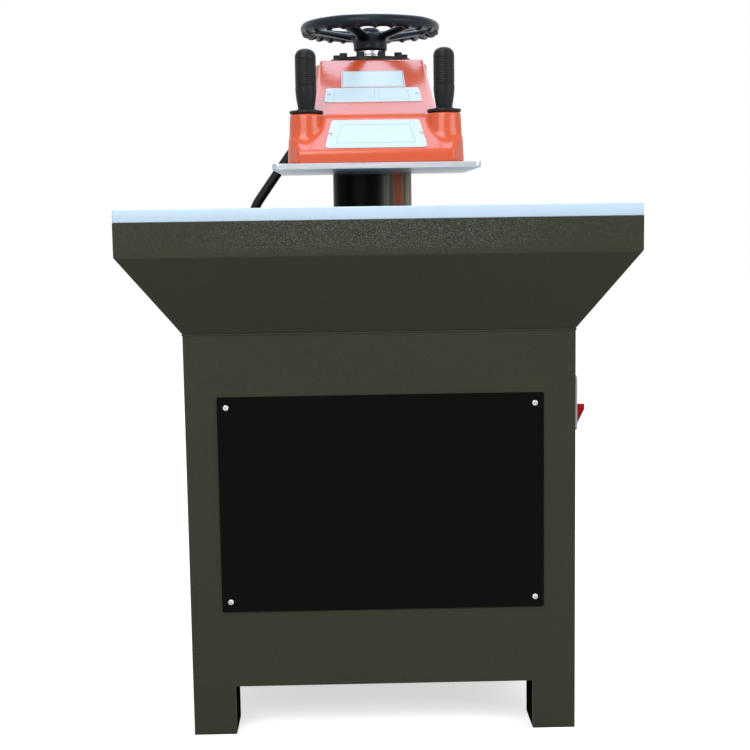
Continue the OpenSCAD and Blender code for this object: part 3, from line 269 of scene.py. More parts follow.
def outline(corners, radius, steps=6):
    """A convex polygon's round corners as arc centres and unit directions.

    A point of the outline is centre + r * direction.
    """
    corners = np.asarray(corners, float)
    into, off = corners - np.roll(corners, 1, axis=0), np.roll(corners, -1, axis=0) - corners
    first = np.arctan2(into[:, 1], into[:, 0]) - np.pi / 2
    turn = (np.arctan2(off[:, 1], off[:, 0]) - np.pi / 2 - first) % (2 * np.pi)
    last = first + turn
    normals = np.stack([np.cos(first) + np.cos(last), np.sin(first) + np.sin(last)], axis=-1)
    centre = corners - radius * normals / (1 + np.cos(turn))[:, None]
    way = first[:, None] + turn[:, None] * np.linspace(0, 1, steps + 1)
    direction = np.stack([np.cos(way), np.sin(way)], axis=-1)
    return np.repeat(centre, steps + 1, axis=0), direction.reshape(-1, 2)


def slab(corners, radius, thick, edge, steps=3):
    """A plate: a round-cornered outline carried up a profile and closed at its middle.

    The profile's two ends are quarter circles of the edge's radius, and a ring a little further in
    keeps the faces flat.
    """
    flat = 1.6
    centre, direction = outline(corners, radius)
    t = np.linspace(0, np.pi / 2, steps + 1)
    inset = np.concatenate([[flat * edge], edge * (1 - np.sin(t))])
    rise = np.concatenate([[0], edge * (1 - np.cos(t))])
    inset = np.concatenate([inset, inset[::-1]])
    height = np.concatenate([rise, thick - rise[::-1]])
    rings = centre + (radius - inset)[:, None, None] * direction
    middle = np.broadcast_to(centre.mean(axis=0), rings[:1].shape)
    rings = np.concatenate([middle, rings, middle])
    height = np.concatenate([[0], height, [thick]])[:, None]
    points = np.dstack([rings, np.broadcast_to(height, rings.shape[:2])])[:, ::-1]
    return grid(np.concatenate([points, points[:, :1]], axis=1))


def rectangle(low, high):
    """Corners of a rectangle, anticlockwise."""
    return [low, (high[0], low[1]), high, (low[0], high[1])]


def tube(path, radius, segments=16):
    """A circle carried along a path by frames turned as little as possible.

    The radius may vary along the path, and both ends are closed at their middle.
    """
    path = np.asarray(path, float)
    tangent = np.gradient(path, axis=0)
    tangent /= np.linalg.norm(tangent, axis=1, keepdims=True)
    side = np.zeros_like(path)
    start = np.cross(tangent[0], (0.0, 1.0, 0.0) if abs(tangent[0][1]) < 0.9 else (1.0, 0.0, 0.0))
    side[0] = start / np.linalg.norm(start)
    for i in range(1, len(path)):
        s = side[i - 1] - tangent[i] * (side[i - 1] @ tangent[i])
        side[i] = s / np.linalg.norm(s)
    other = np.cross(tangent, side)
    turn = np.linspace(0, 2 * np.pi, segments + 1)
    ring = np.cos(turn)[:, None] * side[:, None] - np.sin(turn)[:, None] * other[:, None]
    rows = path[:, None] + np.broadcast_to(radius, len(path))[:, None, None] * ring
    rows[:, -1] = rows[:, 0]
    ends = np.broadcast_to(path[[0, -1], None], (2,) + rows.shape[1:])
    return grid(np.concatenate([ends[:1], rows, ends[1:]]))


def smooth_max(k, *fields):
    """Largest of several fields, with the crease between them rounded over a width k."""
    out = fields[0]
    for f in fields[1:]:
        near = np.maximum(k - np.abs(out - f), 0) / k
        out = np.maximum(out, f) + near * near * k / 4
    return out


def smooth_min(k, *fields):
    """Smallest of several fields, with the crease between them filled over a width k."""
    return -smooth_max(k, *(-f for f in fields))


CELL = np.array([(i, j, k) for i in (0, 1) for j in (0, 1) for k in (0, 1)])


def zero_surface(field, low, high, step):
    """The surface where a field is zero.

    Each grid cell that it crosses has a point, at the mean of the crossings on the cell's edges,
    which is then moved along the gradient onto the surface. Each grid edge that it crosses has a
    quad round it.
    """
    moves, probe, flattest = 4, 0.02, 0.05
    low = np.asarray(low, float)
    axes = [np.arange(a, b + step, step) for a, b in zip(low, high)]
    value = field(*np.meshgrid(*axes, indexing="ij"))
    inside = value < 0
    nx, ny, nz = np.array(value.shape) - 1
    count = sum(inside[i:i + nx, j:j + ny, k:k + nz].astype(np.int8) for i, j, k in CELL)
    cells = np.argwhere((count > 0) & (count < 8))
    number = np.full((nx, ny, nz), -1)
    number[tuple(cells.T)] = np.arange(len(cells))
    total, hits = np.zeros((len(cells), 3)), np.zeros((len(cells), 1))
    for a in CELL:
        for way in np.eye(3, dtype=int)[a == 0]:
            va, vb = value[tuple((cells + a).T)], value[tuple((cells + a + way).T)]
            crossed = (va < 0) != (vb < 0)
            t = np.where(crossed, va / np.where(crossed, va - vb, 1), 0)
            total += crossed[:, None] * (a + t[:, None] * way)
            hits += crossed[:, None]
    points = low + step * (cells + total / hits)
    quads = []
    for axis in ((0, 1, 2), (1, 2, 0), (2, 0, 1)):
        full, cell = inside.transpose(axis), number.transpose(axis)
        i, j, k = np.nonzero(full[:-1] != full[1:])
        loop = np.stack(
            [cell[i, j - 1, k - 1], cell[i, j, k - 1], cell[i, j, k], cell[i, j - 1, k]], axis=-1
        )
        quads.append(np.where(full[i + 1, j, k][:, None], loop[:, ::-1], loop))
    h = step * probe
    for _ in range(moves):
        here = field(*points.T)
        slope = np.stack([(field(*(points + h * e).T) - here) / h for e in np.eye(3)], axis=-1)
        steep = np.maximum((slope * slope).sum(axis=1, keepdims=True), flattest)
        points -= np.clip(here[:, None] * slope / steep, -step / 2, step / 2)
    return points, np.concatenate(quads), np.zeros((0, 3), int)


def piece(name, surface, slot, body=None, nodes=(), sharp=40, ink=None):
    """A finished piece from a surface in millimetres, smooth but for edges sharper than an angle.

    Ink gives each point's share of print, for the finish of the plates.
    """
    points, *faces = surface
    sizes = np.concatenate([np.full(len(f), f.shape[1]) for f in faces])
    starts = np.concatenate([[0], np.cumsum(sizes)[:-1]])
    corners = np.concatenate([f.ravel() for f in faces]).astype(np.int32)
    mesh = bpy.data.meshes.new(name)
    mesh.vertices.add(len(points))
    mesh.vertices.foreach_set("co", (points * MM).astype(np.float32).ravel())
    mesh.loops.add(len(corners))
    mesh.loops.foreach_set("vertex_index", corners)
    mesh.polygons.add(len(sizes))
    mesh.polygons.foreach_set("loop_start", starts.astype(np.int32))
    mesh.polygons.foreach_set("use_smooth", np.ones(len(sizes), bool))
    mesh.update(calc_edges=True)
    mesh.set_sharp_from_angle(angle=math.radians(sharp))
    if ink is not None:
        layer = mesh.attributes.new("ink", "FLOAT", "POINT")
        layer.data.foreach_set("value", ink.astype(np.float32))
    return shown(name, mesh, slot, body, nodes)


def shown(name, mesh, slot, body=None, nodes=()):
    """A mesh as an object of the scene, at the origin.

    It rides on its body, has its slot's finish and stands for its nodes.
    """
    mesh.materials.clear()
    mesh.materials.append(FINISHES[slot])
    obj = bpy.data.objects.new(name, mesh)
    bpy.context.scene.collection.objects.link(obj)
    if body:
        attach(obj, body)
    if nodes:
        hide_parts(*nodes)
    return obj


def softened(node, name, slot, body, width, outer=None, segments=2):
    """A merged copy of a solid with its edges rounded.

    With outer directions given, only edges between two faces that look along one of them are.
    """
    merge, flat, fold, facing = 1e-6, math.radians(0.5), math.radians(20), 0.3
    shape = bmesh.new()
    shape.from_mesh(frame["nodes"][node].data)
    bmesh.ops.remove_doubles(shape, verts=shape.verts, dist=merge)
    bmesh.ops.dissolve_limit(shape, angle_limit=flat, verts=shape.verts, edges=shape.edges)
    weight = shape.edges.layers.float.new("bevel_weight_edge")
    for edge in shape.edges:
        if len(edge.link_faces) == 2 and edge.calc_face_angle(0) > fold:
            edge[weight] = float(outer is None or all(
                any(face.normal.dot(Vector(way)) > facing for way in outer)
                for face in edge.link_faces
            ))
    mesh = bpy.data.meshes.new(name)
    shape.to_mesh(mesh)
    shape.free()
    made = shown(name, mesh, slot, body, (node,))
    bevel = made.modifiers.new("edges", "BEVEL")
    bevel.limit_method, bevel.width, bevel.segments = "WEIGHT", width, segments
    bevel.harden_normals = True
    return made


# Finishes


class Value:
    """A socket of a node tree; arithmetic on it adds Math nodes."""

    def __init__(self, tree, socket):
        self.tree, self.socket = tree, socket

    def math(self, operation, first, second):
        return self.tree.node("ShaderNodeMath", {"operation": operation}, {0: first, 1: second})

    def __add__(self, other):
        return self.math("ADD", self, other)

    def __sub__(self, other):
        return self.math("SUBTRACT", self, other)

    def __rsub__(self, other):
        return self.math("SUBTRACT", other, self)

    def __mul__(self, other):
        return self.math("MULTIPLY", self, other)

    __radd__, __rmul__ = __add__, __mul__

    def size(self):
        return self.math("ABSOLUTE", self, 0)

    def swing(self, width):
        """How far a noise is from its middle, times a width."""
        return (self - 0.5) * width

    def ramp(self, low, high):
        """0 below low, 1 above high, smooth between them."""
        return self.tree.node(
            "ShaderNodeMapRange", {"interpolation_type": "SMOOTHSTEP", "clamp": True},
            {"Value": self, "From Min": low, "From Max": high},
        )


class Nodes:
    """A node tree that is written as expressions."""

    def __init__(self, tree):
        self.tree = tree

    def node(self, kind, settings=None, inputs=None, out=0):
        """One node: its settings are set first, then its sockets get their values or links."""
        made = self.tree.nodes.new(kind)
        for name, value in (settings or {}).items():
            setattr(made, name, value)
        for name, value in (inputs or {}).items():
            self.feed(made.inputs[name], value)
        return Value(self, made.outputs[out]) if made.outputs else None

    def feed(self, socket, value):
        """Links a value to a socket, or sets the socket to a plain number, colour or vector."""
        if isinstance(value, Value):
            self.tree.links.new(value.socket, socket)
        elif socket.type == "RGBA" and len(value) == 3:
            socket.default_value = (*value, 1)
        else:
            socket.default_value = value

    def mix(self, factor, first, second):
        """One colour over another."""
        return self.node(
            "ShaderNodeMix", {"data_type": "RGBA", "clamp_factor": True},
            {0: factor, 6: first, 7: second}, 2,
        )


class Finish(Nodes):
    """A procedural material on Object coordinates."""

    def __init__(self, slot, **constants):
        self.slot = slot
        self.material = bpy.data.materials.new(f"{slot}_finish")
        self.material.use_nodes = True
        super().__init__(self.material.node_tree)
        self.shader = self.tree.nodes["Principled BSDF"]
        self.place = self.node("ShaderNodeTexCoord", out="Object")
        for name, value in constants.items():
            self.set(name.replace("_", " "), value)

    def set(self, name, value):
        self.feed(self.shader.inputs[name], value)

    def stretched(self, x, y, z):
        """The place with each axis multiplied: a pattern runs long where the number is small."""
        return self.node("ShaderNodeMapping", {}, {"Vector": self.place, "Scale": (x, y, z)})

    def noise(self, scale, detail=3.0, place=None, rough=0.5):
        return self.node("ShaderNodeTexNoise", {}, {
            "Vector": place or self.place, "Scale": scale, "Detail": detail, "Roughness": rough,
        })

    def axis(self, k):
        """The place along one axis."""
        return self.node("ShaderNodeSeparateXYZ", {}, {0: self.place}, k)

    def bump(self, height, strength, millimetres):
        self.set("Normal", self.node("ShaderNodeBump", {}, {
            "Strength": strength, "Distance": millimetres * MM, "Height": height,
        }))


FINISHES = {}

# Where painted glints and shade show on the cabinet, in metres: they fade across its width and start
# up its skirt
GLINTS_FADE, GLINTS_START = (0.14, 0.36), (0.868, 0.895)
GLINT_PALE = (0.2, 0.212, 0.195)

# Bands across the column, in metres, where a grey highlight, a faint sheen and a brown reflection
# are painted
HIGHLIGHT_BAND = (0.004, 0.034)
SHEEN_FROM, SHEEN_TO = (-0.05, -0.03), (-0.024, -0.006)
BROWN_REFLECTION_FROM, BROWN_REFLECTION_TO = (0.038, 0.048), (0.058, 0.068)
HIGHLIGHT_GREY, REFLECTION_BROWN = (0.44, 0.39, 0.3), (0.5, 0.15, 0.08)


def shade(base, times):
    """A colour made darker or paler."""
    return tuple(min(1.0, c * times) for c in base)


def painted(slot, base, rough, grain, depth, gloss=0.2, mottle=0.12, painted_glints=0.0):
    """Paint: a broad mottle and fine specks vary its shade and gloss.

    The specks' height is the texture that the spray leaves. Painted glints turn some specks pale and
    some dark, as painted highlight and shade.
    """
    f = Finish(slot, Specular_IOR_Level=gloss)
    cloud, speck = f.noise(4, 4), f.noise(grain, 2, rough=0.6)
    tone = cloud.swing(1.6) + speck.swing(0.8) + 0.5
    body = f.mix(tone, shade(base, 1 - mottle), shade(base, 1 + mottle))
    if painted_glints:
        # Painted highlight and shade: pale and dark specks, strongest high on the skirt and across
        # its middle
        middle = 1 - f.axis(0).size().ramp(*GLINTS_FADE) * 0.85
        glint_mask = (f.axis(2).ramp(*GLINTS_START) * middle * 0.9 + 0.1) * painted_glints
        body = f.mix(speck.ramp(0.5, 0.66) * glint_mask, body, GLINT_PALE)
        body = f.mix((1 - speck.ramp(0.36, 0.5)) * glint_mask, body, shade(base, 0.4))
    f.set("Base Color", body)
    f.set("Roughness", rough + speck.swing(0.2) + cloud.swing(0.12))
    f.bump(speck, 0.6, depth)
    return f


def metal(slot, base, rough, grain, along=(1, 1, 1), depth=0.03, stain=0.2):
    """Metal: fine lines vary its gloss, and broad stains its shade.

    The lines run long on the axes with a small number.
    """
    f = Finish(slot, Metallic=1.0)
    lines = f.noise(grain, 3, f.stretched(*along))
    cloud = f.noise(9, 4)
    tone = cloud.swing(1.5) + lines.swing(0.7) + 0.5
    f.set("Base Color", f.mix(tone, shade(base, 1 - stain), shade(base, 1 + stain * 0.5)))
    f.set("Roughness", rough + lines.swing(0.3) + cloud.swing(0.15))
    f.bump(lines, 0.5, depth)
    return f


def moulded(slot, base, rough, grain=900.0, depth=0.03, gloss=0.25):
    """Plastic or rubber: a fine moulded grain in height and gloss, and faint handling marks."""
    f = Finish(slot, Specular_IOR_Level=gloss)
    skin, marks = f.noise(grain, 2), f.noise(35, 5, rough=0.65)
    f.set("Base Color", f.mix(marks.ramp(0.35, 0.7), shade(base, 0.9), shade(base, 1.12)))
    f.set("Roughness", rough + skin.swing(0.2) + marks.swing(0.25))
    f.bump(skin, 0.5, depth)
    return f


def arm_enamel(slot, base):
    """Gloss enamel: the casting's waves and the brush's fine waves show in the reflections."""
    f = Finish(slot, Specular_IOR_Level=0.6)
    waves, fine, cloud = f.noise(26, 2), f.noise(150, 2), f.noise(5, 3)
    f.set("Base Color", f.mix(cloud, shade(base, 0.92), shade(base, 1.06)))
    f.set("Roughness", 0.19 + fine.swing(0.1))
    f.bump(waves + fine * 0.1, 0.35, 1.6)
    return f


def board_plastic(slot, base):
    """White plastic board: a grid of fine knife marks bent by noise, and grey rubbed patches."""
    f = Finish(slot, Specular_IOR_Level=0.35)
    bend = f.noise(7, 2) * 0.2
    across = f.noise(60, 2, f.stretched(1, 0.02, 1)) + bend - 0.62
    along = f.noise(60, 2, f.stretched(0.02, 1, 1)) - 0.5
    marks = 2 - across.size().ramp(0, 0.012) - along.size().ramp(0, 0.008)
    rubbed = f.noise(11, 5, rough=0.6).ramp(0.45, 0.75)
    body = f.mix(rubbed * 0.35, base, shade(base, 0.9))
    f.set("Base Color", f.mix(marks * 0.18, body, shade(base, 0.72)))
    f.set("Roughness", 0.42 + rubbed * 0.15)
    f.bump(0 - marks, 0.25, 0.15)
    return f


def column_steel(slot, base):
    """Dark oiled steel with fine streaks, and a painted grey highlight and brown reflection."""
    f = Finish(slot, Specular_IOR_Level=0.02)
    across = f.axis(0) + f.noise(30, 2, f.stretched(1, 1, 0.1)).swing(0.02)
    streaks = f.noise(90, 3, f.stretched(1, 1, 0.04))
    # Painted light: a faint sheen, a brown reflection and a grey highlight, each in a fixed band
    # across the column
    sheen = across.ramp(*SHEEN_FROM) * (1 - across.ramp(*SHEEN_TO) * 0.6) * 0.07
    brown_reflection = across.ramp(*BROWN_REFLECTION_FROM) * (1 - across.ramp(*BROWN_REFLECTION_TO))
    bare = across.ramp(*HIGHLIGHT_BAND) * (streaks.ramp(0.35, 0.65) * 0.6 + 0.4) + sheen
    grey = f.mix(bare, base, HIGHLIGHT_GREY)
    f.set("Base Color", f.mix(brown_reflection * streaks.ramp(0.3, 0.55), grey, REFLECTION_BROWN))
    f.set("Roughness", 0.3 + streaks.swing(0.2))
    f.bump(streaks, 0.2, 0.03)
    return f


def plate_print(slot, base, ink):
    """Pale plate: fine grain, with printed lines where the mesh's ink attribute is 1."""
    f = Finish(slot, Specular_IOR_Level=0.4)
    grain, cloud = f.noise(900, 2), f.noise(12, 3)
    body = f.mix(cloud, shade(base, 0.95), shade(base, 1.04))
    inked = f.node("ShaderNodeAttribute", {"attribute_name": "ink"}, out="Fac")
    f.set("Base Color", f.mix(inked, body, ink))
    f.set("Roughness", 0.3 + grain.swing(0.15) + inked * 0.2)
    f.bump(grain, 0.3, 0.03)
    return f


class PRESS_OT_finishes(bpy.types.Operator):
    """Makes the finish of every material slot and gives it to the solids that show"""

    bl_idname = "press.finishes"
    bl_label = "Finishes"

    def execute(self, context):
        c = context.scene.press_colours
        down = (1, 1, 0.1)
        made = [
            painted(
                "cabinet_paint", c.cabinet, rough=0.5, grain=680, depth=0.3, gloss=0.1,
                mottle=0.06, painted_glints=0.6,
            ),
            painted("cover_black", c.cover, rough=0.34, grain=700, depth=0.1, gloss=0.035),
            painted("tank_grey", linear(120, 124, 126), 0.4, grain=500, depth=0.15, mottle=0.08),
            painted("motor_blue", linear(40, 78, 120), 0.35, grain=300, depth=0.25, gloss=0.4),
            painted("dark_cast", linear(58, 58, 56), 0.55, grain=260, depth=0.5),
            painted("black_steel", linear(22, 22, 23), 0.4, grain=800, depth=0.08),
            plate_print("plate_silver", c.plate, c.ink),
            painted(
                "switch_grey", linear(222, 222, 221), 0.4, grain=800, depth=0.08, gloss=0.4,
                mottle=0.04,
            ),
            arm_enamel("arm_red", c.arm),
            board_plastic("board_plastic", c.board),
            column_steel("column_steel", c.column),
            metal("bed_steel", linear(150, 152, 154), 0.4, 220, (0.05, 1, 1)),
            metal("platen_metal", c.platen, 0.3, 240, (0.04, 1, 1), stain=0.12),
            metal("bright_steel", c.steel, 0.25, 500, depth=0.02),
            metal("machined_steel", linear(170, 172, 175), 0.32, 400, down),
            metal("chrome_steel", linear(215, 218, 220), 0.12, 300, down, 0.01, 0.08),
            metal("bush_bronze", linear(176, 128, 66), 0.35, 300, down),
            metal("pump_alloy", linear(168, 170, 172), 0.45, 260, depth=0.12),
            moulded("wheel_black", c.wheel, rough=0.32, grain=500, depth=0.02, gloss=0.17),
            moulded("grip_black", c.grip, rough=0.42, grain=1200, depth=0.05, gloss=0.18),
            moulded("black_rubber", c.conduit, rough=0.48, depth=0.06, gloss=0.2),
            moulded("black_plastic", linear(18, 18, 19), rough=0.32, grain=1200, gloss=0.3),
            moulded("switch_red", c.switch, rough=0.3, grain=1500, depth=0.02, gloss=0.15),
        ]
        FINISHES.update((f.slot, f.material) for f in made)
        # Painted shade: a dark copy of the cabinet paint on the legs' inner faces, where shade falls
        inside = painted(
            "cabinet_inside", shade(c.cabinet, 0.25), rough=0.8, grain=680, depth=0.3, gloss=0.0
        )
        for part in frame["record"]["subparts"]:
            in_shade = part["node"] == "leg_plates"
            for slot in frame["nodes"][part["node"]].material_slots:
                slot.material = inside.material if in_shade else FINISHES[part["material_slot"]]
        return {"FINISHED"}


# The camera and the conduit come first

# Each lamp's power by name, its place and size in metres and its tint
WHITE = (1.0, 1.0, 1.0)
LAMPS = (
    ("key", (-0.9, -2.5, 2.35), 1.9, WHITE),
    ("fill", (2.3, -1.7, 1.7), 1.8, WHITE),
    ("top", (0.2, 2.7, 3.6), 2.8, (0.43, 0.66, 1.0)),
    ("over", (0.0, -0.9, 3.6), 0.9, (0.5, 0.75, 1.0)),
)
LAMPS_AIM = Vector((0, -0.1, 0.75))

# The dome's light near the ground and overhead, and the floor's half width and greys
DOME_LOW, DOME_HIGH = ((0.97, 0.98, 1.0), 0.66), ((0.9, 0.96, 1.0), 1.1)
FLOOR, FLOOR_MATT, FLOOR_PALE, FLOOR_GLOW = 14.0, 0.2, 0.92, 0.62


class PRESS_OT_stage(bpy.types.Operator):
    """Camera at the viewing angle, pale floor, white surroundings and soft lamps"""

    bl_idname = "press.stage"
    bl_label = "Stage"

    def execute(self, context):
        s = context.scene.press_stage
        context.scene.view_settings.view_transform = "Standard"
        self.camera(context, s)
        self.world(context, s)
        self.floor(context)
        for name, place, size, tint in LAMPS:
            data = bpy.data.lights.new(f"{name}_lamp", "AREA")
            data.energy, data.size, data.color = getattr(s, name), size, tint
            lamp = bpy.data.objects.new(f"{name}_lamp", data)
            turn = (LAMPS_AIM - Vector(place)).to_track_quat("-Z", "Y")
            lamp.matrix_world = Matrix.Translation(place) @ turn.to_matrix().to_4x4()
            context.scene.collection.objects.link(lamp)
        return {"FINISHED"}

    def camera(self, context, s):
        level, down = math.cos(s.pitch), math.sin(s.pitch)
        ahead = Vector((math.sin(s.yaw) * level, math.cos(s.yaw) * level, -down))
        side = Vector((math.cos(s.yaw), -math.sin(s.yaw), 0))
        top = side.cross(ahead)
        right = math.cos(s.roll) * side - math.sin(s.roll) * top
        up = math.cos(s.roll) * top + math.sin(s.roll) * side
        data = bpy.data.cameras.new("camera")
        data.lens, data.sensor_width, data.clip_end = s.lens, 36.0, 50.0
        camera = bpy.data.objects.new("camera", data)
        turn = Matrix((right, up, -ahead)).transposed().to_4x4()
        camera.matrix_world = Matrix.Translation(s.place) @ turn
        context.scene.collection.objects.link(camera)
        context.scene.camera = camera

    def seen(self, nodes):
        """1 for rays from the camera, reflections and glass."""
        path = nodes.node("ShaderNodeLightPath", out="Is Camera Ray").socket.node
        ray = [Value(nodes, path.outputs[n]) for n in (
            "Is Camera Ray", "Is Glossy Ray", "Is Transmission Ray"
        )]
        return (ray[0] + ray[1] + ray[2]).ramp(0, 0.5)

    def world(self, context, s):
        """A soft dome of light, which shows white to the camera."""
        world = bpy.data.worlds.new("surroundings")
        world.use_nodes = True
        world.node_tree.nodes.clear()
        nodes = Nodes(world.node_tree)
        way = nodes.node("ShaderNodeTexCoord", out="Generated")
        rise = nodes.node("ShaderNodeSeparateXYZ", {}, {0: way}, 2).ramp(-0.1, 0.9)
        low, high = (shade(tint, s.sky * times) for tint, times in (DOME_LOW, DOME_HIGH))
        sky = nodes.mix(self.seen(nodes), nodes.mix(rise, low, high), WHITE)
        light = nodes.node("ShaderNodeBackground", {}, {"Color": sky, "Strength": 1.0})
        nodes.node("ShaderNodeOutputWorld", {}, {"Surface": light})
        context.scene.world = world

    def floor(self, context):
        """Pale floor, which shows white to the camera where nothing shades it."""
        mesh = bpy.data.meshes.new("floor")
        corners = rectangle((-FLOOR, -FLOOR), (FLOOR, FLOOR))
        mesh.from_pydata([(*corner, 0) for corner in corners], [], [(0, 1, 2, 3)])
        material = bpy.data.materials.new("floor_pale")
        material.use_nodes = True
        material.node_tree.nodes.clear()
        nodes = Nodes(material.node_tree)
        matt, pale = (
            nodes.node("ShaderNodeBsdfDiffuse", {}, {"Color": (grey, grey, grey)})
            for grey in (FLOOR_MATT, FLOOR_PALE)
        )
        glow = nodes.node("ShaderNodeEmission", {}, {"Color": WHITE, "Strength": FLOOR_GLOW})
        white = nodes.node("ShaderNodeAddShader", {}, {0: pale, 1: glow})
        both = nodes.node("ShaderNodeMixShader", {}, {0: self.seen(nodes), 1: matt, 2: white})
        nodes.node("ShaderNodeOutputMaterial", {}, {"Surface": both})
        mesh.materials.append(material)
        floor = bpy.data.objects.new("floor", mesh)
        context.scene.collection.objects.link(floor)


CONDUIT_Y, CONDUIT_X, CONDUIT_R = 250.0, 258.0, 10.0
CONDUIT_BEND, CONDUIT_END = 90.0, 820.0
CONDUIT_TILT, CONDUIT_FALL = math.radians(40), math.radians(54.5)
GLAND, GLAND_NOSE = (-133.0, 1107.0), 24.0


def conduit_route():
    """The conduit's line in the plane behind the column.

    It runs straight out of its gland, then an arc, the straight fall, an arc to the vertical, and
    straight down.
    """
    def step(at, tilt, size):
        return at - np.asarray(size, float)[:, None] * np.array([math.cos(tilt), math.sin(tilt)])

    def arc(at, a, b, n):
        t = np.linspace(a, b, n)[1:]
        turn = np.stack([np.sin(t) - np.sin(a), np.cos(a) - np.cos(t)], axis=-1)
        return at - CONDUIT_BEND * turn

    route = [step(np.array(GLAND), CONDUIT_TILT, GLAND_NOSE + np.array([0, 5, CONDUIT_R]))]
    route.append(arc(route[-1][-1], CONDUIT_TILT, CONDUIT_FALL, 5))
    left = CONDUIT_X + route[-1][-1][0] - CONDUIT_BEND * (1 - math.sin(CONDUIT_FALL))
    fall = np.linspace(0, left / math.cos(CONDUIT_FALL), 8)[1:]
    route.append(step(route[-1][-1], CONDUIT_FALL, fall))
    route.append(arc(route[-1][-1], CONDUIT_FALL, np.pi / 2, 9))
    down = np.linspace(0, route[-1][-1][1] - CONDUIT_END, 7)[1:]
    route.append(step(route[-1][-1], np.pi / 2, down))
    return np.insert(np.concatenate(route), 1, CONDUIT_Y, axis=1)


class PRESS_OT_conduit(bpy.types.Operator):
    """Black conduit from the arm's gland down through the deck"""

    bl_idname = "press.conduit"
    bl_label = "Conduit"

    def execute(self, context):
        rings, segments = 160, 28
        route = conduit_route()
        steps = np.linalg.norm(np.diff(route, axis=0), axis=1)
        along = np.concatenate([[0], np.cumsum(steps)])
        fine = np.linspace(0, along[-1], rings)
        path = np.stack([np.interp(fine, along, route[:, k]) for k in range(3)], axis=-1)
        hose = tube(path, CONDUIT_R, segments)
        made = piece("conduit_hose", hose, "black_rubber", nodes=("conduit",))
        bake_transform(made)
        tuple(route[0] * MM)
        (route * MM).tolist()
        return {"FINISHED"}


SPRING_WIRE, SPRING_TURNS, STROKE = 5.0, 8, 50.0


class PRESS_OT_spring(bpy.types.Operator):
    """Return spring under the piston: a round wire along a helix"""

    bl_idname = "press.spring"
    bl_label = "Return spring"

    def execute(self, context):
        per_turn, segments = 36, 14
        z, r, tall = round_box("return_spring")
        r = r - SPRING_WIRE
        t = np.linspace(0, 1, SPRING_TURNS * per_turn + 1)
        turn = 2 * np.pi * SPRING_TURNS * t
        rise = z + SPRING_WIRE + (tall - 2 * SPRING_WIRE) * t
        path = np.stack([r * np.cos(turn), COLUMN_Y + r * np.sin(turn), rise], axis=-1)
        wire = tube(path, SPRING_WIRE, segments)
        made = piece("spring_coil", wire, "machined_steel", "frame", ("return_spring",))
        z * MM
        1 - (STROKE + 1) / tall
        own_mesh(made)
        return {"FINISHED"}


# The arm


def half_space(y, z, at, to):
    """Distance outside a plane through two points of (y, z).

    The outside is on the left of the way from the first to the second.
    """
    dy, dz = to[0] - at[0], to[1] - at[1]
    size = math.hypot(dy, dz)
    return ((z - at[1]) * dy - (y - at[0]) * dz) / size


def casting_field(fillet, edge):
    """The arm casting as a field in millimetres, negative inside.

    A low base with bevelled corners, a leaning face over its whole front, a tapering spine with
    slope and crest, a round hub, two bosses and the gland's pad are blended into each other, less
    the column's bore, the pocket and the bosses' spot faces.
    """
    front_y, half, drawn, shoulder, band = -256.0, 159.0, 157.0, 1075.0, 1053.0
    bevel_deep, bevel_wide, waist = 34.0, 20.0, 50.0
    spine_low, spine_high = 118.0, 104.0
    hub_r, boss_r, pad_r, pad_tall, spot_room = 118.0, 30.5, 20.0, 60.0, 1.0
    wall, bore = 26.0, 83.3
    spot_edge, crease, lip, pocket_edge = 2, 3, 4, 12
    spine_fillet, hub_fillet = fillet * 0.5, fillet * 0.7

    def field(x, y, z):
        side = np.abs(x)
        front = front_y - y
        bevel = half_space(side, y, (half, front_y + bevel_deep), (half - bevel_wide, front_y))
        flank = half_space(side, z, (drawn, shoulder), (half, ARM_BOTTOM))
        tail = half_space(y, z, (waist, shoulder), (COLUMN_Y, band))
        narrow = half_space(side, y, (hub_r, COLUMN_Y), (half, waist))
        face, slope = half_space(y, z, *FACE), half_space(y, z, *SLOPE)
        cheek = half_space(side, z, (spine_high, HUB_TOP), (spine_low, ARM_BOTTOM))
        ahead, behind = smooth_max(crease, front, face), y - COLUMN_Y
        base = smooth_max(edge, ahead, bevel, flank, narrow, z - shoulder, tail, behind)
        spine = smooth_max(edge, ahead, slope, cheek, z - HUB_TOP, behind)
        from_boss = np.hypot(side - BOSS[0], y - BOSS[1])
        draft = (half - drawn) / (shoulder - ARM_BOTTOM)
        stem = smooth_max(lip, from_boss - boss_r - (BOSS_TOP - z) * draft, z - BOSS_TOP)
        low = smooth_max(lip, smooth_min(fillet, base, stem), flank, bevel)
        solid = smooth_min(spine_fillet, low, spine)
        solid = smooth_max(crease, solid, front, smooth_min(fillet, face, stem))
        from_axis = np.hypot(x, y - COLUMN_Y)
        hub = smooth_max(edge, from_axis - hub_r, z - HUB_TOP)
        out = (-math.cos(CONDUIT_TILT), -math.sin(CONDUIT_TILT))
        reach = (x - GLAND[0]) * out[0] + (z - GLAND[1]) * out[1]
        width = np.hypot((z - GLAND[1]) * out[0] - (x - GLAND[0]) * out[1], y - CONDUIT_Y)
        pad = smooth_max(crease, width - pad_r, reach, -pad_tall - reach)
        solid = smooth_min(hub_fillet, solid, hub, pad)
        pocket = smooth_max(
            pocket_edge, face + wall, slope + wall, cheek + wall, y - (COLUMN_Y - bore - wall)
        )
        spot = smooth_max(spot_edge, from_boss - boss_r - spot_room, BOSS_TOP - z)
        solid = smooth_max(lip, solid, ARM_BOTTOM - z, z - HUB_TOP)
        return smooth_max(crease, solid, -spot, -pocket, bore - from_axis)

    return field


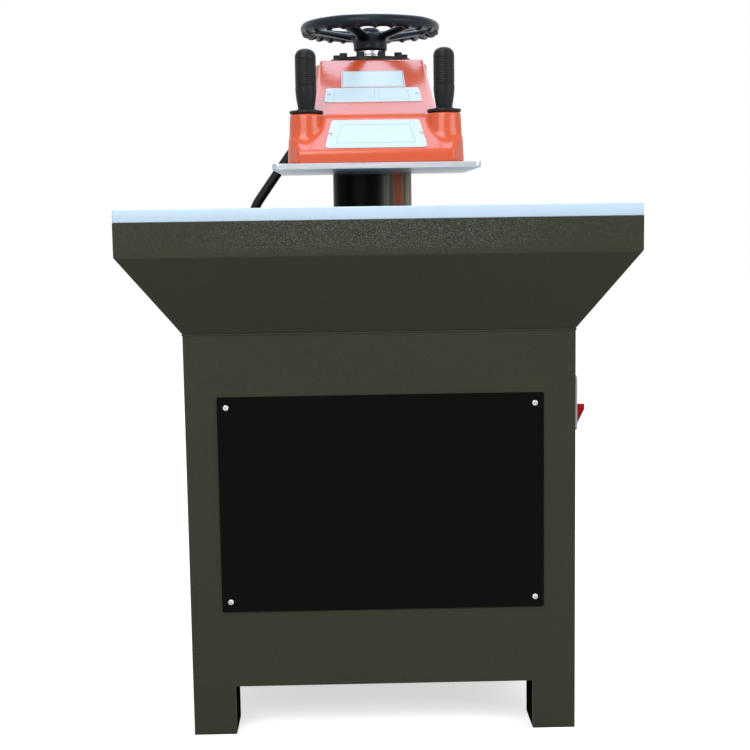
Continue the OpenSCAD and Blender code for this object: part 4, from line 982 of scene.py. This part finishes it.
class PRESS_OT_casting(bpy.types.Operator):
    """The arm casting as one blended surface"""

    bl_idname = "press.casting"
    bl_label = "Arm casting"

    def execute(self, context):
        s, room = context.scene.press_sizes, 7
        low, high = box_mm("arm_casting")
        field = casting_field(s.casting_fillet / MM, s.casting_edge / MM)
        surface = zero_surface(field, low - room, high + room, s.casting_cell / MM)
        piece("arm_shell", surface, "arm_red", "arm", ("arm_casting",), sharp=60)
        return {"FINISHED"}


def wheel_field(fillet, count):
    """The handwheel as a field in millimetres, negative inside.

    A ring whose underside rises in round finger valleys between sharp ridges, and five flat spokes
    that rise from a hub and widen towards the ring, less a bore. Ring and spokes are scaled, so
    that the field stays near a distance.
    """
    rim_r, rim_z, rim_t, ridge, ring_scale = 132.5, 1325.3, 12.3, 4.2, 0.9
    hub_low, hub_high, hub_r, hub_edge = 1278.3, 1312.0, 35.0, 6
    bore, bore_edge = 15.5, 2
    first, step = math.radians(28), 2 * np.pi / 5
    flat, widening, thick, thinning, spoke_scale = 1.9, 1.0, 7.0, 1.2, 0.7
    foot = np.array([27.0, 1306.0])
    rise = np.array([rim_r, rim_z]) - foot

    def field(x, y, z):
        y = y - COLUMN_Y
        radius, way = np.hypot(x, y), np.arctan2(y, x)
        under = np.clip((rim_z - z) / rim_t, 0, 1) ** 3
        ring = np.hypot(radius - rim_r, z - rim_z) - rim_t
        ring = ring - ridge * under * (1 - np.abs(np.sin(way * count / 2))) ** 2
        turn = (way - first + step / 2) % step - step / 2
        out, across = radius * np.cos(turn) - foot[0], radius * np.sin(turn)
        t = np.clip((out * rise[0] + (z - foot[1]) * rise[1]) / (rise @ rise), 0, 1)
        over = np.hypot(out - t * rise[0], z - foot[1] - t * rise[1])
        spoke = np.hypot(across / (flat + widening * t), over) - (thick - thinning * t)
        hub = smooth_max(hub_edge, radius - hub_r, z - hub_high, hub_low - z)
        body = smooth_min(fillet, hub, spoke * spoke_scale, ring * ring_scale)
        return smooth_max(bore_edge, body, bore - radius, hub_low - z, z - rim_z - rim_t)

    return field


class PRESS_OT_handwheel(bpy.types.Operator):
    """Black handwheel with finger valleys and five spokes, and the round cap over its nut"""

    bl_idname = "press.handwheel"
    bl_label = "Handwheel"

    def execute(self, context):
        s, room = context.scene.press_sizes, 4
        low, high = box_mm("handwheel")
        field = wheel_field(s.wheel_fillet / MM, s.finger_count)
        surface = zero_surface(field, low - room, high + room, s.wheel_cell / MM)
        piece("wheel_body", surface, "wheel_black", "handwheel", ("handwheel",), sharp=60)
        cap = self.cap(*round_box("wheel_nut"))
        piece("wheel_cap", cap, "wheel_black", "handwheel", ("wheel_nut",))
        return {"FINISHED"}

    def cap(self, z, r, tall):
        """A turned profile: a short skirt and a quarter ellipse up to a flat top."""
        rise, flat, skirt = 6.0, 0.55, 0.4
        tall = tall + rise
        t = np.linspace(0, np.pi / 2, 9)
        dome = np.stack([
            r * (flat + (1 - flat) * np.cos(t)), tall * (skirt + (1 - skirt) * np.sin(t))
        ], axis=-1)
        return on_column(revolved(np.concatenate([[(0, 0), (r, 0)], dome, [(0, tall)]])), z)


class PRESS_OT_grips(bpy.types.Operator):
    """Ribbed grips, their flanges and the domed buttons"""

    bl_idname = "press.grips"
    bl_label = "Grips and buttons"

    FULL, STUD, FLANGE, FLANGE_TALL = 19.0, 5.98, 30.5, 5

    def execute(self, context):
        s = context.scene.press_sizes
        grip, button = self.grip(s.rib_pitch / MM, s.rib_depth / MM), self.button()
        wide, tall, hole, skin = self.FLANGE, self.FLANGE_TALL, 6, 0.2
        disc = revolved(eased(
            [(0, 0), (wide, 0), (wide, tall), (hole, tall), (hole, skin), (0, skin)], 1.2
        ))
        discs = []
        for name, x in (("left", -BOSS[0]), ("right", BOSS[0])):
            at = (x, BOSS[1], BOSS_TOP + tall)
            handle, dome, body = placed(grip, at), placed(button, at), f"{name}_button"
            piece(f"{name}_handle", handle, "grip_black", "arm", (f"{name}_grip",), sharp=50)
            piece(f"{name}_dome", dome, "black_plastic", body, (body,))
            discs.append(placed(disc, (x, BOSS[1], BOSS_TOP)))
        piece("handle_discs", joined(*discs), "black_steel", "arm", ("handle_flanges",))
        return {"FINISHED"}

    def grip(self, pitch, depth):
        """A turned profile.

        A stud, a collar, a taper to the full radius, ribs as a rounded wave, a round lip, and the
        cup that holds the button.
        """
        full, stud_r, neck, cup, cup_low = self.FULL, self.STUD, 14.8, 16.8, 82.0
        stud_low, foot, foot_tall = -34, 18.0, 1.4
        taper_low, taper_tall = 4.0, 36
        low, high = 47.0, 90.0
        stud = [(0, stud_low), (stud_r, stud_low), (stud_r, 0)]
        collar = eased([(stud_r, 0), (foot, 0), (foot, foot_tall), (neck, taper_low)], 1.2)[1:]
        t = np.linspace(0, 1, 16)[1:]
        swell = (full - neck) * np.sin(t * np.pi / 2) ** 1.15
        taper = np.stack([neck + swell, taper_low + taper_tall * t], axis=-1)
        count = round((high - low) / pitch)
        z = np.linspace(low, high, count * 10 + 1)
        wave = np.abs(np.sin(np.pi * count * (z - low) / (high - low))) ** 0.6
        ribs = np.stack([full - depth * (1 - wave), z], axis=-1)
        t = np.linspace(0, 1, 9)
        r = full - (full - cup - 0.3) * t ** 1.5
        lip = np.stack([r, self.crown(r)], axis=-1)
        inside = [(cup, lip[-1, 1] - 0.5), (cup, cup_low), (0, cup_low)]
        return revolved(np.concatenate([stud, collar, taper, ribs, lip, inside]), 72)

    def crown(self, radius):
        """Height of the round top that a grip's lip and its button share: a superellipse."""
        low, top, power = 91.0, 110.0, 2.5
        return low + (top - low) * (1 - (radius / self.FULL) ** power) ** (1 / power)

    def button(self):
        """A short skirt under a dome that carries on the grip's round top."""
        low, radius = 87.3, 16.4
        r = radius * np.linspace(1, 0, 18)
        dome = np.stack([r, self.crown(r)], axis=-1)
        return revolved(np.concatenate([[(0, low), (radius, low)], dome]))


# The top of the column


class PRESS_OT_top(bpy.types.Operator):
    """Top cap and thrust bearing under the wheel"""

    bl_idname = "press.top"
    bl_label = "Cap and bearing"

    def execute(self, context):
        z, r, tall = round_box("top_cap")
        hole = 16
        cap = revolved(eased([(hole, 0), (r, 0), (r, tall), (hole, tall), (hole, 0)], 1.2), 96)
        piece("cap_disc", on_column(cap, z), "black_steel", "arm", ("top_cap",))
        z, r, tall = round_box("thrust_bearing")
        hole, groove, low, high = 15.5, r - 2.5, tall / 2 - 1.0, tall / 2 + 1.0
        rings = revolved(eased([
            (hole, 0), (r, 0), (r, low), (groove, low), (groove, high), (r, high), (r, tall),
            (hole, tall), (hole, 0),
        ], 0.8), 80)
        piece("bearing_rings", on_column(rings, z), "bright_steel", "carrier", ("thrust_bearing",))
        return {"FINISHED"}


# The bare plates on the arm


def on_front(way, up, out=0.0, x=0.0):
    """A place on the arm's face or slope and its axes: right, up the way and out of it."""
    foot, top = way
    y, z = np.subtract(top, foot) / math.dist(foot, top)
    v, n = np.array([0, y, z]), np.array([0, -z, y])
    return np.array([x, *foot]) + up * v + out * n, (1, 0, 0), v, n


def trapezium(low, high, tall):
    """Corners of a plate that narrows upwards, anticlockwise from its lower left."""
    return [(-low / 2, 0), (low / 2, 0), (high / 2, tall), (-high / 2, tall)]


def line(a, b, wide=0.7):
    """A printed line on a plate, as a flat strip."""
    a, b = np.array(a, float), np.array(b, float)
    along = (b - a) / np.linalg.norm(b - a) * wide / 2
    side = np.array([-along[1], along[0]])
    corners = [a - along - side, b + along - side, b + along + side, a - along + side]
    rows = np.array([[corners[0], corners[3]], [corners[1], corners[2]]])
    return grid(np.dstack([rows, np.zeros((2, 2))]))


def frame_lines(corners, wide=0.7):
    """Lines round a polygon."""
    return [line(a, b, wide) for a, b in zip(corners, corners[1:] + corners[:1])]


PLATE_THICK, PLATE_EDGE, INK_THICK = 1.2, 0.35, 0.06


def printed(corners, radius, lines):
    """A plate with lines printed on it, and the ink of each of its points."""
    plate = slab(corners, radius, PLATE_THICK, PLATE_EDGE)
    lines = [placed(one, (0, 0, PLATE_THICK + INK_THICK)) for one in lines]
    ink = np.concatenate([np.zeros(len(plate[0])), *(np.ones(len(one[0])) for one in lines)])
    return joined(plate, *lines), ink


def screw_head(radius=3.5, tall=1.9, slot=0.7, deep=0.8, cross=False):
    """A domed head with one slot across it, or two near its middle.

    Its height dips where a point is within half the slot's width of a line.
    """
    bulge, wall, reach = 0.8, 0.15, 0.66 if cross else 0.97
    across = (0.8, 0.6)
    r = radius * np.sin(np.linspace(0, np.pi / 2, 27 if cross else 15))[:, None]
    a = np.linspace(0, 2 * np.pi, 73)
    x, y = r * np.round(np.cos(a), 12), r * np.round(np.sin(a), 12)
    z = tall * np.sqrt(np.maximum(1 - bulge * (r / radius) ** 2, 0)) + 0 * x
    off = np.abs(x * across[0] + y * across[1])
    if cross:
        off = np.minimum(off, np.abs(x * across[1] - y * across[0]))
    z = z - deep * np.clip((slot - off) / wall, 0, 1) * (r < radius * reach)
    points = np.stack([x, y, z], axis=-1)
    foot = points[-1:] * (1, 1, 0)
    return grid(np.concatenate([points, foot, foot * 0]))


class PRESS_OT_plates(bpy.types.Operator):
    """Bare plates on the arm, with plain printed lines, and their screws"""

    bl_idname = "press.plates"
    bl_label = "Bare plates"

    def execute(self, context):
        border = [(-70, 11), (70, 11), (61, 52), (-61, 52)]
        nose, ink = printed(trapezium(183, 157, 63), 6, frame_lines(border))
        at = on_front(FACE, 8.2)
        piece("nose_badge", placed(nose, *at), "plate_silver", "arm", ("name_plate",), ink=ink)
        rows = [line((-69, y), (0, y), 0.5) for y in (25, 36, 47, 58)]
        boxes = frame_lines(rectangle((-72, 13), (3, 69)))
        boxes += frame_lines(rectangle((11, 13), (66, 69)))
        lower, lower_ink = printed(trapezium(180, 175, 81), 5, boxes + rows)
        border = frame_lines(rectangle((-58, 4), (58, 94)), 1.2)
        upper, upper_ink = printed(trapezium(122, 120, 98), 3, border)
        both = joined(
            placed(lower, *on_front(SLOPE, 71, x=-2)), placed(upper, *on_front(SLOPE, 157.5))
        )
        ink = np.concatenate([lower_ink, upper_ink])
        piece("slope_badges", both, "plate_silver", "arm", ("slope_plates",), ink=ink)
        heads = [
            placed(screw_head(), *on_front(way, up, PLATE_THICK, x)) for way, up, x in (
                (FACE, 38.5, -80.5), (FACE, 38.5, 80.5), (SLOPE, 114, -84), (SLOPE, 114, 80)
            )
        ]
        piece("badge_screws", joined(*heads), "bright_steel", "arm", ("plate_screws",))
        return {"FINISHED"}


# The table and the cabinet


class PRESS_OT_board(bpy.types.Operator):
    """Cutting board with softened edges"""

    bl_idname = "press.board"
    bl_label = "Cutting board"

    def execute(self, context):
        corner, edge = 4, context.scene.press_sizes.board_edge / MM
        low, high = box_mm("cutting_board")
        board = slab(rectangle(low[:2], high[:2]), corner, high[2] - low[2], edge)
        piece("board", placed(board, (0, 0, low[2])), "board_plastic", "frame", ("cutting_board",))
        return {"FINISHED"}


class PRESS_OT_covers(bpy.types.Operator):
    """Front cover with softened edges, and the screws of the front and rear covers"""

    bl_idname = "press.covers"
    bl_label = "Front cover and screws"

    def execute(self, context):
        corner, edge = 3, context.scene.press_sizes.cover_edge / MM
        low, high = box_mm("front_cover")
        sheet = slab(rectangle(low[[0, 2]], high[[0, 2]]), corner, high[1] - low[1], edge)
        at = placed(sheet, (0, high[1], 0), (1, 0, 0), (0, 0, 1), (0, -1, 0))
        piece("front_cover_sheet", at, "cover_black", "frame", ("front_cover",))
        heads = joined(*self.heads())
        piece("panel_screws", heads, "bright_steel", "frame", ("cover_screws",))
        return {"FINISHED"}

    def heads(self):
        """Cross-slotted heads in the corners of both covers, where the solid's screws are.

        The solid's points are told apart by the side of the press and of the cover's middle that
        they are on.
        """
        head = screw_head(radius=4.9, tall=3.0, slot=0.8, deep=1.8, cross=True)
        solid_tall = box_mm("front_cover")[0][1] - box_mm("cover_screws")[0][1]
        mesh = frame["nodes"]["cover_screws"].data
        points = np.empty(len(mesh.vertices) * 3)
        mesh.vertices.foreach_get("co", points)
        points = points.reshape(-1, 3) / MM
        for away, x, z in ((a, b, c) for a in (-1, 1) for b in (-1, 1) for c in (-1, 1)):
            screws = points[points[:, 1] * away > 0]
            middle = (screws.min(axis=0) + screws.max(axis=0)) / 2
            one = screws[((screws - middle)[:, [0, 2]] * (x, z)).min(axis=1) > 0]
            low, high = one.min(axis=0), one.max(axis=0)
            at = (low + high) / 2
            at[1] = (high if away > 0 else low)[1] - away * solid_tall
            yield placed(head, at, (-away, 0, 0), (0, 0, 1), (0, away, 0))


class PRESS_OT_edges(bpy.types.Operator):
    """Rounded outer edges and folds on the cabinet's plates, the striking plate and the switch"""

    bl_idname = "press.edges"
    bl_label = "Rounded edges"

    OUTER = {
        "front_plate": ((0, -1, 0), (-1, 0, 0), (1, 0, 0), (0, 0, -1)),
        "rear_plate": ((0, 1, 0), (-1, 0, 0), (1, 0, 0), (0, 0, -1)),
        "left_side_plate": ((-1, 0, 0), (0, 0, -1)),
        "right_side_plate": ((1, 0, 0), (0, 0, -1)),
        "hopper_front": ((0, -1, 0), (0, -0.7, -0.7)),
        "hopper_left": ((-1, 0, 0), (-0.7, 0, -0.7)),
        "hopper_right": ((1, 0, 0), (0.7, 0, -0.7)),
    }
    SWITCH_OUTER = ((1, 0, 0), (0, 0, 1), (0, 0, -1), (0, 1, 0), (0, -1, 0))

    def execute(self, context):
        s = context.scene.press_sizes
        for node, outer in self.OUTER.items():
            softened(node, f"{node}_sheet", "cabinet_paint", "frame", s.sheet_edge, outer)
        softened("platen", "platen_slab", "platen_metal", "arm", s.platen_edge)
        softened(
            "switch_handle", "switch_lever", "switch_red", "switch_handle", s.switch_edge,
            segments=3,
        )
        softened(
            "switch_base", "switch_plate", "switch_grey", "frame", s.switch_edge,
            self.SWITCH_OUTER, segments=3,
        )
        return {"FINISHED"}


class PRESS_OT_welds(bpy.types.Operator):
    """Rippled weld beads where the flared sheets meet the cabinet"""

    bl_idname = "press.welds"
    bl_label = "Weld beads"

    def execute(self, context):
        r = context.scene.press_sizes.bead / MM
        low, high = box_mm("front_plate")
        rear, z = box_mm("left_side_plate")[1][1:]
        left, right = (low[0], low[1]), (high[0], low[1])
        beads = [
            self.bead(r, z, a, b)
            for a, b in ((left, right), (left, (low[0], rear)), (right, (high[0], rear)))
        ]
        piece("table_welds", joined(*beads), "cabinet_paint", "frame")
        return {"FINISHED"}

    def bead(self, r, z, a, b):
        """A tube between two places, whose radius swells with each short ripple and slow wave."""
        step, sunk, ripple, wave = 0.9, 1.0, (0.14, 3.6), (0.1, 47)
        size = math.dist(a, b)
        t = np.linspace(0, 1, int(size / step))
        x, y = (a[k] + (b[k] - a[k]) * t for k in (0, 1))
        swell = sum(
            share * np.sin(2 * np.pi * t * size / pitch) for share, pitch in (ripple, wave)
        )
        path = np.stack([x, y, np.full(len(t), z - sunk)], axis=-1)
        return tube(path, r * (1 + swell), 8)


OPERATORS = (
    PRESS_OT_finishes,
    PRESS_OT_stage,
    PRESS_OT_conduit,
    PRESS_OT_spring,
    PRESS_OT_casting,
    PRESS_OT_handwheel,
    PRESS_OT_grips,
    PRESS_OT_top,
    PRESS_OT_plates,
    PRESS_OT_board,
    PRESS_OT_covers,
    PRESS_OT_edges,
    PRESS_OT_welds,
)
GROUPS = {"press_colours": PressColours, "press_sizes": PressSizes, "press_stage": PressStage}


class PRESS_PT_panel(bpy.types.Panel):
    """Lists the pieces of the press, its colours, sizes and stage"""

    bl_label = "Press"
    bl_space_type = "VIEW_3D"
    bl_region_type = "UI"
    bl_category = "Press"

    def draw(self, context):
        for operator in OPERATORS:
            self.layout.operator(operator.bl_idname)
        for name, group in GROUPS.items():
            box = self.layout.box()
            for prop in group.__annotations__:
                box.prop(getattr(context.scene, name), prop)


def register():
    for cls in (*GROUPS.values(), *OPERATORS, PRESS_PT_panel):
        bpy.utils.register_class(cls)
    for name, group in GROUPS.items():
        setattr(bpy.types.Scene, name, PointerProperty(type=group))


def unregister():
    for name in GROUPS:
        delattr(bpy.types.Scene, name)
    for cls in (PRESS_PT_panel, *reversed(OPERATORS), *GROUPS.values()):
        bpy.utils.unregister_class(cls)


def main():
    register()
    bpy.ops.press.finishes()
    bpy.ops.press.stage()
    bpy.ops.press.conduit()
    bpy.ops.press.spring()
    bpy.ops.press.casting()
    bpy.ops.press.handwheel()
    bpy.ops.press.grips()
    bpy.ops.press.top()
    bpy.ops.press.plates()
    bpy.ops.press.board()
    bpy.ops.press.covers()
    bpy.ops.press.edges()
    bpy.ops.press.welds()


if __name__ == "__main__":
    main()
